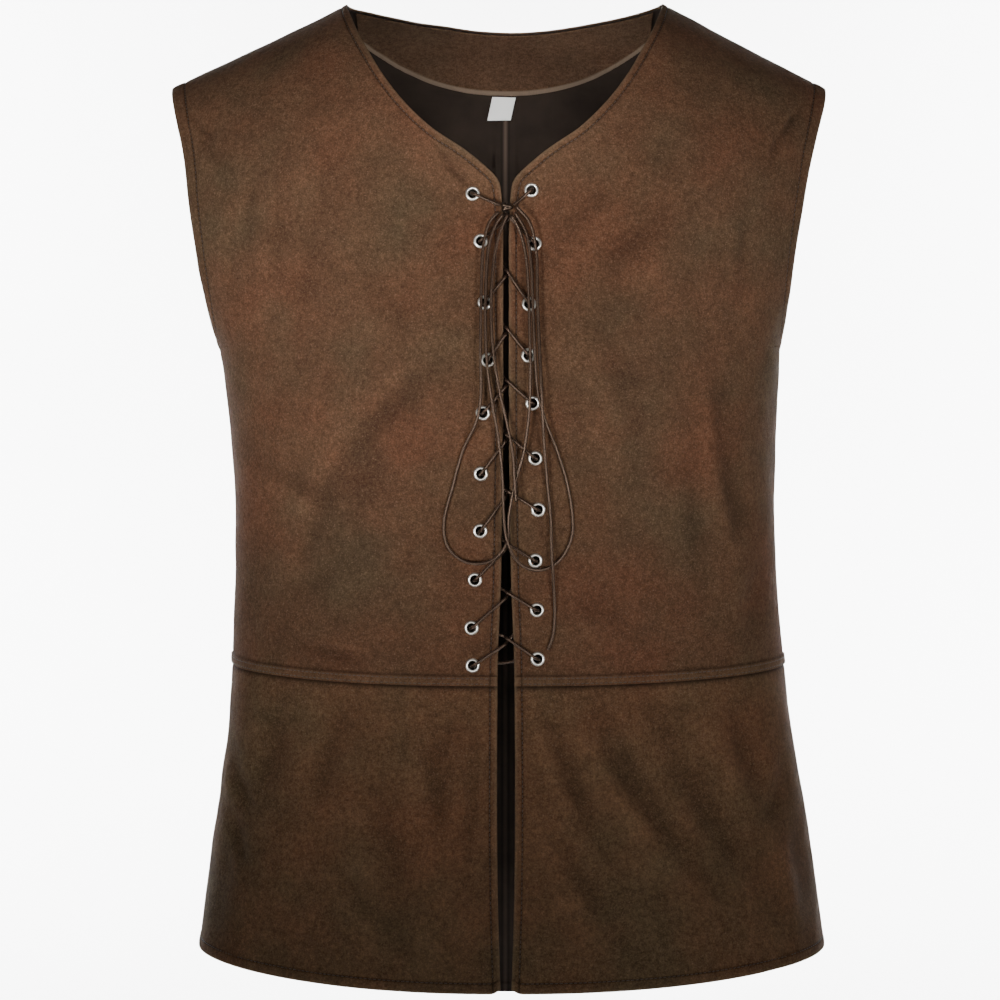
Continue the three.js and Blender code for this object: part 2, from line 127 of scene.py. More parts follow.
SECTION_COLUMNS = {"half": 1, "front": 2, "back": 3, "lean": 4}
SECTIONS = np.array([
    (-727, 233, 143, 136, 4.2),
    (-673, 225, 138, 132, 4.2),
    (-600, 214, 130, 122, 4.2),
    (-530, 203.5, 122, 111, 3.2),
    (-470, 196.5, 117, 104, 2),
    (-415, 192, 119, 105, 0.9),
    (-350, 191, 124, 112, -0.8),
    (-285, 193.2, 128, 119, -2.5),
    (-243, 197, 127, 122, -3.8),
    (-190, 204, 122, 122, -6),
    (-137, 212, 116, 120, -6.4),
    (-102, 218.5, 112, 118, -5.4),
    (-59, 230.2, 108, 114, -4.7),
    (0, 240, 104, 110, -4.2),
])
FRONT_GAP = np.array([
    (-673, 3.6), (-611, 5.4), (-545, 6), (-478, 5.7), (-445, 5.2),
    (-411, 3.7), (-384, 3), (-311, 1.9), (-285, 1.8), (-140, 1.8),
])


def along(levels, values, level):
    """A smooth curve through a table's rows, read at any level."""
    level = np.asarray(level, float)
    i = np.clip(np.searchsorted(levels, level, side="right") - 1, 0, len(levels) - 2)
    before, after = np.maximum(i - 1, 0), np.minimum(i + 2, len(levels) - 1)
    span = levels[i + 1] - levels[i]
    t = (level - levels[i]) / span
    start = (values[i + 1] - values[before]) / (levels[i + 1] - levels[before]) * span
    end = (values[after] - values[i]) / (levels[after] - levels[i]) * span
    return (
        (2 * t**3 - 3 * t**2 + 1) * values[i]
        + (t**3 - 2 * t**2 + t) * start
        + (3 * t**2 - 2 * t**3) * values[i + 1]
        + (t**3 - t**2) * end
    )


def section(level, column):
    return along(SECTIONS[:, 0], SECTIONS[:, SECTION_COLUMNS[column]], level)


print("chest half width:", float(section(-243, "half")), "mm")

# %% [markdown]
# The depth of the form at a place follows from the section at its level. It closes over the
# shoulders with a rounded ridge, and the armholes cut into it where a panel's edge stands forward of
# the side. Lifting a place along the surface's own direction puts things on the cloth or under it.

# %% Place things on the form
def reach_squared(x, z, face):
    out = np.abs(x)
    fall = SHOULDER_DROP / (TIP_HALF - NECK_HALF)
    ridge = -fall * np.maximum(0, out - NECK_HALF)
    below = np.minimum(ridge - z, SHOULDER_ROUND)
    cap = 1 - (1 - below / SHOULDER_ROUND) ** 2
    rise = np.clip((-SHOULDER_DROP - z) / (-SHOULDER_DROP - UNDERARM), 0, 1)
    share = ARM_SHARE * np.sqrt(1 - rise**ARM_FULLNESS)
    half = section(z, "half") / (1 - share**SQUARENESS) ** (1 / SQUARENESS)
    left = 1 - (out / half) ** SQUARENESS
    return section(z, face) ** 2 * cap * np.sign(left) * np.abs(left) ** (2 / SQUARENESS)


def place(x, z, lift, face):
    """Points of the front or back, lifted off the outer face, in millimetres."""
    x, z, lift = np.broadcast_arrays(*(np.asarray(v, float) for v in (x, z, lift)))
    step = 0.05
    towards = -1 if face == "front" else 1
    reach = np.sqrt(np.maximum(0, reach_squared(x, z, face)))
    normal = np.stack([
        (reach_squared(x - step, z, face) - reach_squared(x + step, z, face)) / (2 * step),
        2 * towards * reach,
        (reach_squared(x, z - step, face) - reach_squared(x, z + step, face)) / (2 * step),
    ], axis=-1)
    normal /= np.linalg.norm(normal, axis=-1, keepdims=True)
    lean = section(z, "lean") * (x / section(z, "half")) ** 2
    base = np.stack([x + lean, towards * reach, z], axis=-1)
    return base + normal * lift[..., None]


print("front at the chest:", place(60.0, -243.0, 0.0, "front").round(1), "mm")

# %% [markdown]
# ## How the cloth lies
#
# Worn suede is never smooth. It has broad shallow waves all over, and a few soft creases where the
# body bends or the lace pulls. Both are small heights added to the form: the waves are a sum of long
# ripples that cross every seam without a step, and each crease is a shallow trough with a soft ridge
# beside it, drawn from one place to another. The same heights move the eyelets and the lace, so
# these stay on the cloth.

# %% Long ripples, and listed creases
ripple_maker = np.random.default_rng(11)
RIPPLES = [
    (
        ripple_maker.normal(size=3) * (0.6, 0.6, 0.45),
        ripple_maker.uniform(shortest, longest),
        ripple_maker.uniform(0, 2 * math.pi),
        ripple_maker.uniform(0.5, 1.2) * tall,
    )
    for count, shortest, longest, tall in ((12, 80, 220, 0.42), (16, 20, 60, 0.07))
    for _ in range(count)
]
# the ridge beside a crease's trough: its height as a share of the depth, then its distance and its
# half width as shares of the trough's
RIDGE_TALL, RIDGE_ASIDE, RIDGE_WIDE = 0.55, 1.7, 1.2
# a crease fades towards its ends, this share of its length from its middle
CREASE_FADES, CREASE_TAPER = 0.4, 2.6

# from x, z, to x, z, bow of the line, half width of the trough, depth
CREASES = {
    "front": [
        (-44, -252, -120, -338, 5, 7, 3.2), (-118, -330, -144, -404, -3, 6, 2.4),
        (-180, -316, -116, -350, -3, 6, 2.2), (-70, -300, -110, -372, 6, 14, 1.8),
        (-90, -455, -146, -445, 2, 4, 2.2), (-96, -380, -150, -428, 4, 9, 1.6),
        (-48, -102, -22, -136, 2, 3, 1.8), (-74, -116, -34, -150, 4, 6, 1.2),
        (-164, -118, -170, -196, 2, 4, 1.3), (-148, -124, -152, -210, -2, 5, 1.2),
        (-180, -150, -176, -214, 2, 4, 1.2), (-112, -120, -132, -226, 4, 9, 1.6),
        (-92, -196, -60, -240, -4, 9, 1.3), (146, -262, 164, -378, 4, 7, 3.4),
        (128, -290, 134, -400, 3, 8, 1.6), (64, -226, 92, -330, -6, 10, 1.7),
        (62, -196, 128, -148, -6, 12, 1.7), (30, -176, 84, -128, -4, 7, 1.2),
        (168, -136, 164, -214, 2, 5, 1.3), (176, -390, 168, -446, 3, 7, 1.6),
        (44, -410, 96, -440, -4, 9, 1.3), (-212, -82, -194, -100, 1, 2.6, 2.2),
        (-206, -92, -186, -118, 2, 3.4, 1.5), (206, -78, 192, -100, 1, 2.6, 2.2),
        (198, -88, 184, -116, 2, 3.4, 1.5), (24, -474, 76, -600, 4, 6, 2.6),
        (50, -474, 158, -628, 6, 9, 3.4), (96, -474, 170, -612, 6, 9, 2.6),
        (150, -474, 190, -580, 4, 8, 2.6), (30, -556, 84, -650, 4, 7, 2.0),
        (-104, -474, -130, -556, 3, 9, 2.4), (-154, -474, -176, -556, -4, 9, 2.2),
        (-46, -478, -42, -590, 3, 8, 2.0), (-22, -500, -30, -600, -2, 5, 1.6),
        (-88, -540, -74, -654, -5, 11, 2.0), (-128, -566, -60, -648, 6, 7, 1.4),
        (-192, -520, -178, -562, 3, 6, 2.4), (-198, -560, -184, -602, -2, 5, 1.8),
        (190, -524, 178, -566, -3, 6, 2.2), (-188, -560, -206, -652, 3, 8, 2.4),
        (192, -548, 206, -654, -3, 8, 2.2),
    ],
    "back": [
        (-146, -296, -84, -356, 6, 9, 2.4), (-176, -330, -132, -376, 4, 7, 1.8),
        (146, -284, 92, -348, -6, 9, 2.3), (-124, -416, -44, -448, 4, 8, 2.2),
        (126, -408, 52, -444, -4, 8, 2.0), (-30, -428, 40, -440, 5, 8, 1.5),
        (-186, -240, -156, -304, 5, 8, 1.8), (186, -236, 156, -306, -5, 8, 1.8),
        (-52, -84, -112, -196, 8, 11, 1.7), (56, -82, 118, -192, -8, 11, 1.7),
        (-206, -84, -188, -112, 2, 3, 1.6), (204, -82, 188, -110, -2, 3, 1.6),
        (-66, -474, -98, -690, 6, 12, 2.2), (-24, -474, -34, -706, 5, 10, 1.6),
        (56, -474, 96, -690, -7, 12, 2.2), (126, -474, 164, -660, 6, 10, 2.0),
        (-134, -474, -174, -656, -6, 10, 2.0), (22, -500, 40, -706, 4, 9, 1.5),
    ],
}
print("creases:", {face: len(rows) for face, rows in CREASES.items()})

# %% [markdown]
# A crease fades towards its two ends and is a little uneven along its length, like one that formed
# by itself. Sculpting could give the same look, but a formula gives every piece the same height at
# the same place, so the seams stay closed and the eyelets stay seated.

# %% How the cloth lies
def bell(distance, where, wide, power=2):
    """1 at a place, falling softly to 0 on both sides."""
    return np.exp(-(np.abs((distance - where) / wide) ** power))


def waves(x, z, face):
    points = place(x, z, 0, face)
    return sum(
        tall * np.sin(points @ direction * (2 * math.pi / wave) + start)
        for direction, wave, start, tall in RIPPLES
    )


def creases(x, z, face):
    height = np.zeros(np.broadcast(x, z).shape)
    for x0, z0, x1, z1, bow, wide, deep in CREASES[face]:
        run, fall = x1 - x0, z1 - z0
        length = math.hypot(run, fall)
        t = ((x - x0) * run + (z - z0) * fall) / length**2
        aside = ((x - x0) * fall - (z - z0) * run) / length
        inside = np.clip(t, -0.15, 1.15)
        aside = aside - bow * 4 * inside * (1 - inside)
        uneven = 1 + 0.3 * np.sin(7 * t + x0)
        ridge = RIDGE_TALL * bell(aside, RIDGE_ASIDE * wide, RIDGE_WIDE * wide)
        profile = bell(aside, 0, wide) - ridge
        height -= deep * bell(t, 0.5, CREASE_FADES, CREASE_TAPER) * uneven * profile
    return height


def lie(x, z, face):
    """How far the cloth stands off the form at a place, in millimetres."""
    return waves(x, z, face) + creases(x, z, face)


sample = lie(np.linspace(-180, 180, 60), np.full(60, -300.0), "front")
print("the front lies within", sample.min().round(2), "to", sample.max().round(2), "mm")

# %% [markdown]
# ## The lace
#
# The lace is one round braided cord. Its middle lies behind the lowest pair of eyelets, and both
# strands climb from there: up through an eyelet, over the cloth to the gap, down through the gap and
# under the other front to the next eyelet. The top ends meet in a bow with two long loops and two
# free ends. Cords come first. A tube made along a smooth route, with its length and its turn kept as
# a UV map, lets the braid follow the cord.

# %% Smooth routes
CORD_RADIUS = 1.05
CORD_SIDES = 10


def smooth_route(points, step):
    """A centripetal curve through points, cut into even steps of about this length."""
    points = np.asarray(points, float)
    ghosts = np.vstack([2 * points[0] - points[1], points, 2 * points[-1] - points[-2]])
    knots = np.r_[0, np.cumsum(np.sqrt(np.linalg.norm(np.diff(ghosts, axis=0), axis=1)))]

    def between(t, start, end, first, last):
        return ((end - t) * first + (t - start) * last) / (end - start)

    fine = []
    for i in range(1, len(ghosts) - 2):
        t = np.linspace(knots[i], knots[i + 1], 9)[:-1, None]
        k, p = knots[i - 1 : i + 3], ghosts[i - 1 : i + 3]
        a = [between(t, k[j], k[j + 1], p[j], p[j + 1]) for j in range(3)]
        b = [between(t, k[j], k[j + 2], a[j], a[j + 1]) for j in range(2)]
        fine.append(between(t, k[1], k[2], *b))
    fine = np.vstack([*fine, points[-1:]])
    run = np.r_[0, np.cumsum(np.linalg.norm(np.diff(fine, axis=0), axis=1))]
    even = np.linspace(0, run[-1], max(2, round(run[-1] / step)) + 1)
    return np.stack([np.interp(even, run, fine[:, i]) for i in range(3)], axis=1), run[-1]


def new_piece(name, points_mm, faces):
    """A smooth mesh object at the origin, with its place in its mesh."""
    mesh = bpy.data.meshes.new(name)
    mesh.from_pydata((np.asarray(points_mm) * MM).tolist(), [], [list(face) for face in faces])
    mesh.validate()
    mesh.shade_smooth()
    piece = bpy.data.objects.new(name, mesh)
    bpy.context.collection.objects.link(piece)
    return piece


print("cord:", 2 * CORD_RADIUS, "mm across,", CORD_SIDES, "sides")

# %% [markdown]
# A curve with a round bevel would make a cord too, but the braid needs to know how far along and how
# far around each point lies. So the tube is made ring by ring, each ring carried on from the last
# without a twist, and both ends are closed.

# %% A tube around a route
def tube(name, route, length):
    """A closed tube around a route, with length and turn as its UV map."""
    ahead = np.gradient(route, axis=0)
    ahead /= np.linalg.norm(ahead, axis=1, keepdims=True)
    side = np.cross(ahead[0], (0.3, 0.1, 0.95))
    turns = np.linspace(0, 2 * math.pi, CORD_SIDES, endpoint=False)[:, None]
    rings = []
    for centre, direction in zip(route, ahead):
        side = side - direction * (side @ direction)
        side = side / np.linalg.norm(side)
        other = np.cross(direction, side)
        rings.append(centre + CORD_RADIUS * (np.cos(turns) * side + np.sin(turns) * other))
    last = (len(rings) - 1) * CORD_SIDES
    ends = [tuple(reversed(range(CORD_SIDES))), tuple(range(last, last + CORD_SIDES))]
    faces = []
    for start in range(0, last, CORD_SIDES):
        for s in range(CORD_SIDES):
            here, beside = start + s, start + (s + 1) % CORD_SIDES
            faces.append((here, beside, beside + CORD_SIDES, here + CORD_SIDES))
    piece = new_piece(name, np.vstack(rings), faces + ends)
    uv = piece.data.uv_layers.new(name="length_and_turn")
    step = length * MM / (len(rings) - 1)
    for face in piece.data.polygons:
        corners = list(face.vertices)
        first = min(vertex % CORD_SIDES for vertex in corners)
        for loop, vertex in zip(face.loop_indices, corners):
            turn = vertex % CORD_SIDES
            if first == 0 and turn == CORD_SIDES - 1 and len(corners) == 4:
                turn = -1
            uv.data[loop].uv = ((vertex // CORD_SIDES) * step, turn / CORD_SIDES)
    return piece


print("each ring of a tube:", CORD_SIDES, "points")

# %% [markdown]
# The eyelets decide where the lace goes. They sit a little unevenly, as they do once the lace has
# pulled on them, so each has its own place on the right and the left front.

# %% The eyelets' places and the lacing's route
EYELETS = [
    (-22.2, -140.5, 16.9, -138.3),
    (-16.8, -172, 19, -173.8),
    (-14.1, -213, 15.3, -214),
    (-12, -251.2, 14.8, -248.2),
    (-15.3, -286.3, 17.6, -279.8),
    (-16.7, -326.7, 19.5, -316.3),
    (-17.2, -365, 21.4, -350.6),
    (-20.8, -397.8, 19.6, -384.7),
    (-23.1, -430.1, 20.7, -418),
    (-22.4, -455.5, 21.2, -451),
]
KNOT = {"x": 0.6, "z": -150.5, "lift": 4.6, "half_wide": 4.6}
# how far above or below the middle of its four eyelets a strand crosses the gap
CROSS_ASIDE = 2.1
# distance from an eyelet's middle and lift: out of its bore and over the cloth, and back to it below
OUT_OF_EYELET = [(-1.1, -0.7), (-0.3, 1.7), (2.4, 3), (6.4, 2.4)]
INTO_EYELET = [(4.9, -4), (1.2, -3.8)]
# distance from the middle of the gap and lift: over one front's edge and under the other's
OVER_EDGE = [(2.8, 1.6), (0.3, 0.9)]
UNDER_EDGE = [(0.3, -2.9), (2.8, -3.7)]


def hole(side, i):
    right_x, right_z, left_x, left_z = EYELETS[i]
    return np.array((right_x, right_z) if side < 0 else (left_x, left_z), float)


def strand(side):
    """Rows of x, z and lift, from under the lowest eyelet of one side up to the knot."""
    rows = []

    def follow(start, towards, length, steps):
        ahead = (towards - start) / length
        rows.extend((*(start + ahead * distance), lift) for distance, lift in steps)

    def follow_cloth(start, towards, steps):
        follow(start, towards, np.linalg.norm(towards - start), steps)

    def follow_edge(gap, towards, steps):
        follow(gap, towards, abs(towards[0] - gap[0]), steps)

    for i in range(len(EYELETS) - 1, 0, -1):
        start, end = hole(side, i), hole(-side, i - 1)
        middle = np.mean([hole(hand, pair)[1] for hand in (1, -1) for pair in (i, i - 1)])
        cross = np.array((0, middle + side * CROSS_ASIDE))
        follow_cloth(start, cross, OUT_OF_EYELET)
        follow_edge(cross, start, OVER_EDGE)
        follow_edge(cross, end, UNDER_EDGE)
        follow_cloth(end, cross, INTO_EYELET)
        side = -side
    end = np.array((KNOT["x"] + side * (KNOT["half_wide"] + 0.2), KNOT["z"] + 1.6))
    follow_cloth(hole(side, 0), end, OUT_OF_EYELET)
    rows.append((*end, KNOT["lift"]))
    return rows


print("one strand has", len(strand(1)), "places")

# %% [markdown]
# The lacing is the two strands and the short stretch behind the lowest pair of eyelets, as one piece.
# The eyelets hold it in place, so it is no free cord.

# %% The lacing
def on_cloth(rows):
    """Points of a cord's rows, on the cloth as it lies."""
    x, z, lift = np.array(rows, float).T
    return place(x, z, lift + lie(x, z, "front"), "front")


right_x, right_z, left_x, left_z = EYELETS[-1]
behind_fronts = [
    (right_x + 3, right_z, -4),
    ((right_x + left_x) / 2, (right_z + left_z) / 2 - 1, -6),
    (left_x - 3, left_z, -4),
]
lacing_rows = [*reversed(strand(-1)), *behind_fronts, *strand(1)]
lacing_route, lacing_length = smooth_route(on_cloth(lacing_rows), 0.9)
lacing = tube("lace_through_eyelets", lacing_route, lacing_length)
dress(lacing, "lacing")
print("lacing:", round(lacing_length), "mm of lace through the eyelets")

# %% [markdown]
# The bow's loops and ends hang straight down from the knot under their own weight and lie on the
# laced stretch. Each is a free cord of a stated length: a loop leaves the knot and goes back into it,
# and an end stops bare, as cut cord does.

# %% The bow's loops and ends
RIGHT_LOOP = [
    (-4.9, -153.4, 4.8), (-11, -160.5, 5.3), (-14.8, -175, 5.3), (-16, -196, 5.3),
    (-16.6, -222, 5.3), (-16.8, -250, 5.3), (-16.6, -275, 5.5), (-19.6, -292, 5.2),
    (-28.5, -311, 1.6), (-35.6, -336, 1.4), (-41.3, -359, 1.4), (-39, -375, 1.4),
    (-29.5, -384.3, 1.7), (-18.5, -386.2, 4.8), (-8, -383, 5.3), (0.6, -372, 5.3),
    (1.8, -355, 5.3), (5.8, -333, 5.3), (11.6, -312, 5.3), (15, -288, 5.3),
    (16, -262, 5.3), (15.6, -232, 5.3), (14.8, -205, 5.3), (12.8, -180, 5.3),
    (8.4, -164.5, 5.3), (3.8, -155.8, 4.8),
]
LEFT_LOOP = [
    (-2, -155.2, 4.8), (-7.4, -163, 5.3), (-11.4, -177, 5.3), (-13.2, -200, 5.3),
    (-13.6, -228, 5.3), (-12.4, -255, 5.3), (-9, -280, 5.3), (-5, -303, 5.3),
    (-2.4, -328, 5.5), (-1.6, -352, 7), (0.6, -370, 7.9), (6.5, -383, 6.6),
    (15.5, -389.5, 5.4), (26, -389.8, 3), (36.5, -383, 1.5), (43.6, -368, 1.4),
    (43.6, -350, 1.4), (39.5, -329, 1.4), (33, -309, 2.6), (25.4, -290, 5.3),
    (20.6, -270, 5.3), (18.8, -245, 5.3), (17.6, -215, 5.3), (16.4, -187, 5.3),
    (13, -166.5, 5.3), (6.1, -153.9, 4.8),
]
RIGHT_END = [
    (0.9, -155.5, 5.6), (-3.6, -166, 5.8), (-7.6, -183, 5.3), (-9.8, -212, 5.3),
    (-8.6, -244, 5.3), (-4.6, -270, 5.3), (0.6, -293, 5.3), (4.6, -314, 6.4),
    (5.6, -331, 8), (6.6, -344.5, 7.8),
]
LEFT_END = [
    (6.9, -150.2, 6.2), (15.4, -160.5, 6.8), (20, -180, 5.3), (20.6, -208, 5.3),
    (21.8, -240, 5.3), (22.8, -264, 7.6), (23.8, -286, 8.1), (25, -306, 5.5),
    (27.2, -332, 3.4), (29.6, -356, 3), (30, -376, 4.6), (30.7, -388, 5.3),
    (31.4, -400, 3.9), (32.4, -418, 1.5), (31.4, -434, 1.4), (28, -444.5, 1.4),
]

cords = [lacing]
for solid, rows, far_end in [
    ("lace_loop_right", RIGHT_LOOP, "object"),
    ("lace_loop_left", LEFT_LOOP, "object"),
    ("lace_end_right", RIGHT_END, "bare"),
    ("lace_end_left", LEFT_END, "bare"),
]:
    route, length = smooth_route(on_cloth(rows), 1.1)
    cord = tube("hanging_" + solid, route, length)
    dress(cord, solid)
    cords.append(cord)
    print(cord.name, round(length), "mm")

# %% [markdown]
# The knot is three tight turns of the same cord around the crossing strands. A torus is the natural
# start for one turn. It is squashed to an oval in edit mode and tilted, and the three turns together
# hide where the loops begin.

# %% The bow's knot
knot_centre = on_cloth([(KNOT["x"], KNOT["z"], KNOT["lift"])])[0]
# half width, half depth, turn about X, turn about Y, shift in X, in Z
KNOT_TURNS = [
    (3.1, 1.7, 14, 13, 0, 1.1),
    (2.9, 1.6, -10, -15, 0.3, -0.9),
    (1.9, 1.5, 12, 68, -0.6, 0.1),
]
turns = []
for half_wide, half_deep, about_x, about_y, shift_x, shift_z in KNOT_TURNS:
    pick()
    bpy.ops.mesh.primitive_torus_add(
        major_segments=28,
        minor_segments=10,
        major_radius=half_wide * MM,
        minor_radius=CORD_RADIUS * MM,
        location=tuple((knot_centre + (shift_x, 0, shift_z)) * MM),
    )
    turn = bpy.context.active_object
    edit_all()
    bpy.ops.transform.resize(value=(1, half_deep / half_wide, 1))
    bpy.ops.object.mode_set(mode="OBJECT")
    turn.rotation_euler = (math.radians(about_x), math.radians(about_y), 0)
    bpy.ops.object.transform_apply(location=True, rotation=True, scale=False)
    turns.append(turn)
pick(*turns)
bpy.ops.object.join()
bpy.ops.object.shade_smooth()
bow_knot = turns[0]
bow_knot.name = "bow_knot"
dress(bow_knot, "lace_knot")
cords.append(bow_knot)
print("knot:", len(KNOT_TURNS), "turns at", knot_centre.round(1), "mm")

# %% [markdown]
# ## The panels
#
# Each panel is a dense grid of rows laid on the form. A row runs from the panel's inner edge (the
# front edge, the neckline or the centre back seam) to its outer edge (the side seam or the armhole).
# The columns keep fixed distances from both edges, so a fold or a line of stitching has the same
# width all the way round. Cloth could also be draped by a simulation, but that would not keep edges
# and creases where they are on the real garment.

# %% Edges of the panels
WAIST_FRONT, WAIST_SIDE = -469.5, -464
HEM_FRONT, HEM_SIDE, HEM_BACK = -673, -662, -731
STRIP = 6.5
BACK_NECK_DROP, BACK_NECK_POWER = 12.3, 1.6
SKIRT_LEVELS, BODICE_LEVELS = (-640, -600, -550, -505), (-434, -393, -352, -312, -275)
# level of a row at its inner and its outer end, from the underarm up, as far as the inner end lies
# at the front gap or the centre back seam
FRONT_UPPER = [(-243, -243), (-227, -241.5), (-208, -237.5), (-187, -230), (-167, -218)]
BACK_UPPER = [
    (-243, -243), (-226, -241.5), (-200, -237), (-172, -228), (-144, -214), (-117, -197), (-92, -180),
    (-71, -164), (-55, -149), (-40, -134), (-26, -120), (-BACK_NECK_DROP, -107),
]
# along the neckline: inner x, inner level and outer level at the front, and inner x and outer level
# at the back, where the neckline is a curve
FRONT_NECK = [
    (2.6, -146, -202), (4.6, -132.5, -185), (10, -125.5, -167), (27, -111, -148), (50, -95, -130),
    (68, -77, -113), (82, -58.5, -98), (92.5, -41, -85), (100, -27, -74), (105, -15.4, -65.9),
    (108.4, -6.9, -60.7), (110.2, -1.7, -59.5), (110.5, 0, -59),
]
BACK_NECK = [(28, -96), (52, -86), (72, -77), (88, -69.5), (99, -63.6), (106.5, -60), (110.5, -59)]


def gap_half(z, face):
    if face == "back":
        return np.zeros_like(np.asarray(z, float))
    return along(FRONT_GAP[:, 0], FRONT_GAP[:, 1], np.maximum(z, HEM_FRONT))


def back_neck(x):
    return -BACK_NECK_DROP * (1 - np.abs(x / NECK_HALF) ** BACK_NECK_POWER)


def edge_rows(face, part):
    """Inner x, inner z and outer level of the pattern's rows, bottom to top."""
    if part == "skirt":
        hem = HEM_FRONT if face == "front" else HEM_BACK
        levels = [(hem, HEM_SIDE), *zip(SKIRT_LEVELS, SKIRT_LEVELS), (WAIST_FRONT, WAIST_SIDE)]
        neck = []
    else:
        levels = [(WAIST_FRONT + up, WAIST_SIDE + up) for up in (0, STRIP)]
        levels += zip(BODICE_LEVELS, BODICE_LEVELS)
        levels += FRONT_UPPER if face == "front" else BACK_UPPER
        neck = FRONT_NECK if face == "front" else [(x, back_neck(x), outer) for x, outer in BACK_NECK]
    return np.array([*((float(gap_half(z, face)), z, outer) for z, outer in levels), *neck], float)


print("front bodice rows:", len(edge_rows("front", "bodice")))

# %% [markdown]
# Distances across a row are measured on the surface, in the fine steps below. They are close
# together at the very edge, where the cloth turns under, and at a line of stitching.

# %% Steps across a panel
TURNED = [0, 0.08, 0.24, 0.5, 0.85]
EDGE_IN = np.array([*TURNED, 1.4, 2.1, 3, 3.9, 4.5, 4.9, 5.3, 5.8, 6.6, 7.8, 9.3, 11, 13, 15.2])
EDGE_OUT = np.array([
    *TURNED, 1.5, 2.4, 3.6, 5, 6.4, 7.8, 8.9, 9.5, 9.9, 10.3, 10.9, 12, 13.6, 15.5,
])
ROW_LOW = {
    "bodice": np.array([
        *TURNED, 1.5, 2.3, 3.2, 4.1, 4.9, 5.4, 5.8, 6.1, 6.35, 6.6, 6.9, 7.4, 8.2, 9.4, 11, 13,
    ]),
    "skirt": np.array([*TURNED, 1.5, 2.4, 3.6, 4.8, 5.8, 6.4, 6.8, 7.2, 7.8, 8.8, 10.4, 12.6, 15]),
}
ROW_HIGH = np.array([*TURNED, 1.5, 2.4, 3.6, 5, 6.8, 9])
MIDDLE_STEP = 3


def middle_steps(length, low, high):
    return max(2, round((length - low[-1] - high[-1]) / MIDDLE_STEP))


def spread(length, low, high, count):
    """Distances from one edge to the other: fine at both ends, even between."""
    room = length - low[-1] - high[-1]
    between = low[-1] + room * np.arange(1, count) / count
    return np.r_[low, between, (length - high)[::-1]]


print("steps over 200 mm:", middle_steps(200, EDGE_IN, EDGE_OUT))

# %% [markdown]
# Where a row meets an edge aslant its steps are longer, so that a fold keeps its width. The lower
# corners at the front opening are rounded a little, as folded corners are. One table of rows serves
# both the right and the left panel.

# %% The grid of a panel
STRAIGHT_TO = -187  # above this level a front's inner edge leaves the centre
CURVED_BELOW = -300  # below this level a row stays level in front and then bends to its outer end
FINE_STEPS, SLANT_STEPS = 500, 12
CORNER_RISE, CORNER_WIDE, CORNER_TALL = 2.6, 3.6, 8


def row_ends(face, part):
    """x and z of the two ends of each row."""
    rows = edge_rows(face, part)
    run = np.r_[0, np.cumsum(np.hypot(np.diff(rows[:, 0]), np.diff(rows[:, 1])))]
    low = ROW_LOW[part]
    at = spread(run[-1], low, ROW_HIGH, middle_steps(run[-1], low, ROW_HIGH))
    # on the back, one row starts exactly where the centre seam meets the neckline
    corner = run[np.argmax(rows[:, 1] == -BACK_NECK_DROP)]
    if corner:
        at[np.argmin(np.abs(at - corner))] = corner
    inner_x, inner_z, outer_z = (along(run, rows[:, i], at) for i in range(3))
    straight = inner_z < STRAIGHT_TO
    if corner:
        straight = at <= corner
        inner_z = np.where(straight, np.minimum(inner_z, -BACK_NECK_DROP), back_neck(inner_x))
    inner_x = np.where(straight, gap_half(inner_z, face), inner_x)
    return inner_x, inner_z, section(outer_z, "half"), outer_z


def squareness_of(edge, row_direction):
    """The distance square to an edge, as a share of the step along a row that meets it aslant."""
    edge_direction = np.gradient(edge, axis=0)
    edge_direction /= np.linalg.norm(edge_direction, axis=1, keepdims=True)
    row_direction = row_direction / np.linalg.norm(row_direction, axis=1, keepdims=True)
    return np.clip(np.linalg.norm(np.cross(edge_direction, row_direction), axis=1), 0.55, 1)


def panel_grid(face, part, side):
    """x and z of each point, and its distances from the panel's four edges."""
    inner_x, inner_z, outer_x, outer_z = row_ends(face, part)
    bow = np.where(outer_z < CURVED_BELOW, 2.0, 1.0)[:, None]
    turn = np.sin(np.linspace(0, math.pi / 2, FINE_STEPS))[None, :]
    x = inner_x[:, None] + (outer_x - inner_x)[:, None] * turn
    z = inner_z[:, None] + (outer_z - inner_z)[:, None] * turn**bow
    points = place(x, z, 0, face)
    across = np.linalg.norm(np.diff(points, axis=1), axis=2)
    across = np.concatenate([np.zeros((len(x), 1)), np.cumsum(across, axis=1)], axis=1)
    square_in = squareness_of(points[:, 0], points[:, SLANT_STEPS] - points[:, 0])
    square_out = squareness_of(points[:, -1], points[:, -SLANT_STEPS] - points[:, -1])
    count = middle_steps(across[:, -1].max(), EDGE_IN, EDGE_OUT)
    grid = {"x": [], "z": [], "from_in": [], "from_out": []}
    for r, length in enumerate(across[:, -1]):
        at = spread(length, EDGE_IN / square_in[r], EDGE_OUT / square_out[r], count)
        grid["x"].append(side * np.interp(at, across[r], x[r]))
        grid["z"].append(np.interp(at, across[r], z[r]))
        grid["from_in"].append(at * square_in[r])
        grid["from_out"].append((length - at) * square_out[r])
    grid = {name: np.array(values) for name, values in grid.items()}
    if (face, part) == ("front", "skirt"):
        above = grid["z"] - grid["z"][0]
        rounded = bell(grid["from_in"], 0, CORNER_WIDE) * bell(above, 0, CORNER_TALL)
        grid["z"] += CORNER_RISE * rounded
    rise = np.linalg.norm(np.diff(place(grid["x"], grid["z"], 0, face), axis=0), axis=2)
    grid["from_low"] = np.vstack([np.zeros((1, rise.shape[1])), np.cumsum(rise, axis=0)])
    grid["from_high"] = grid["from_low"][-1] - grid["from_low"]
    return grid


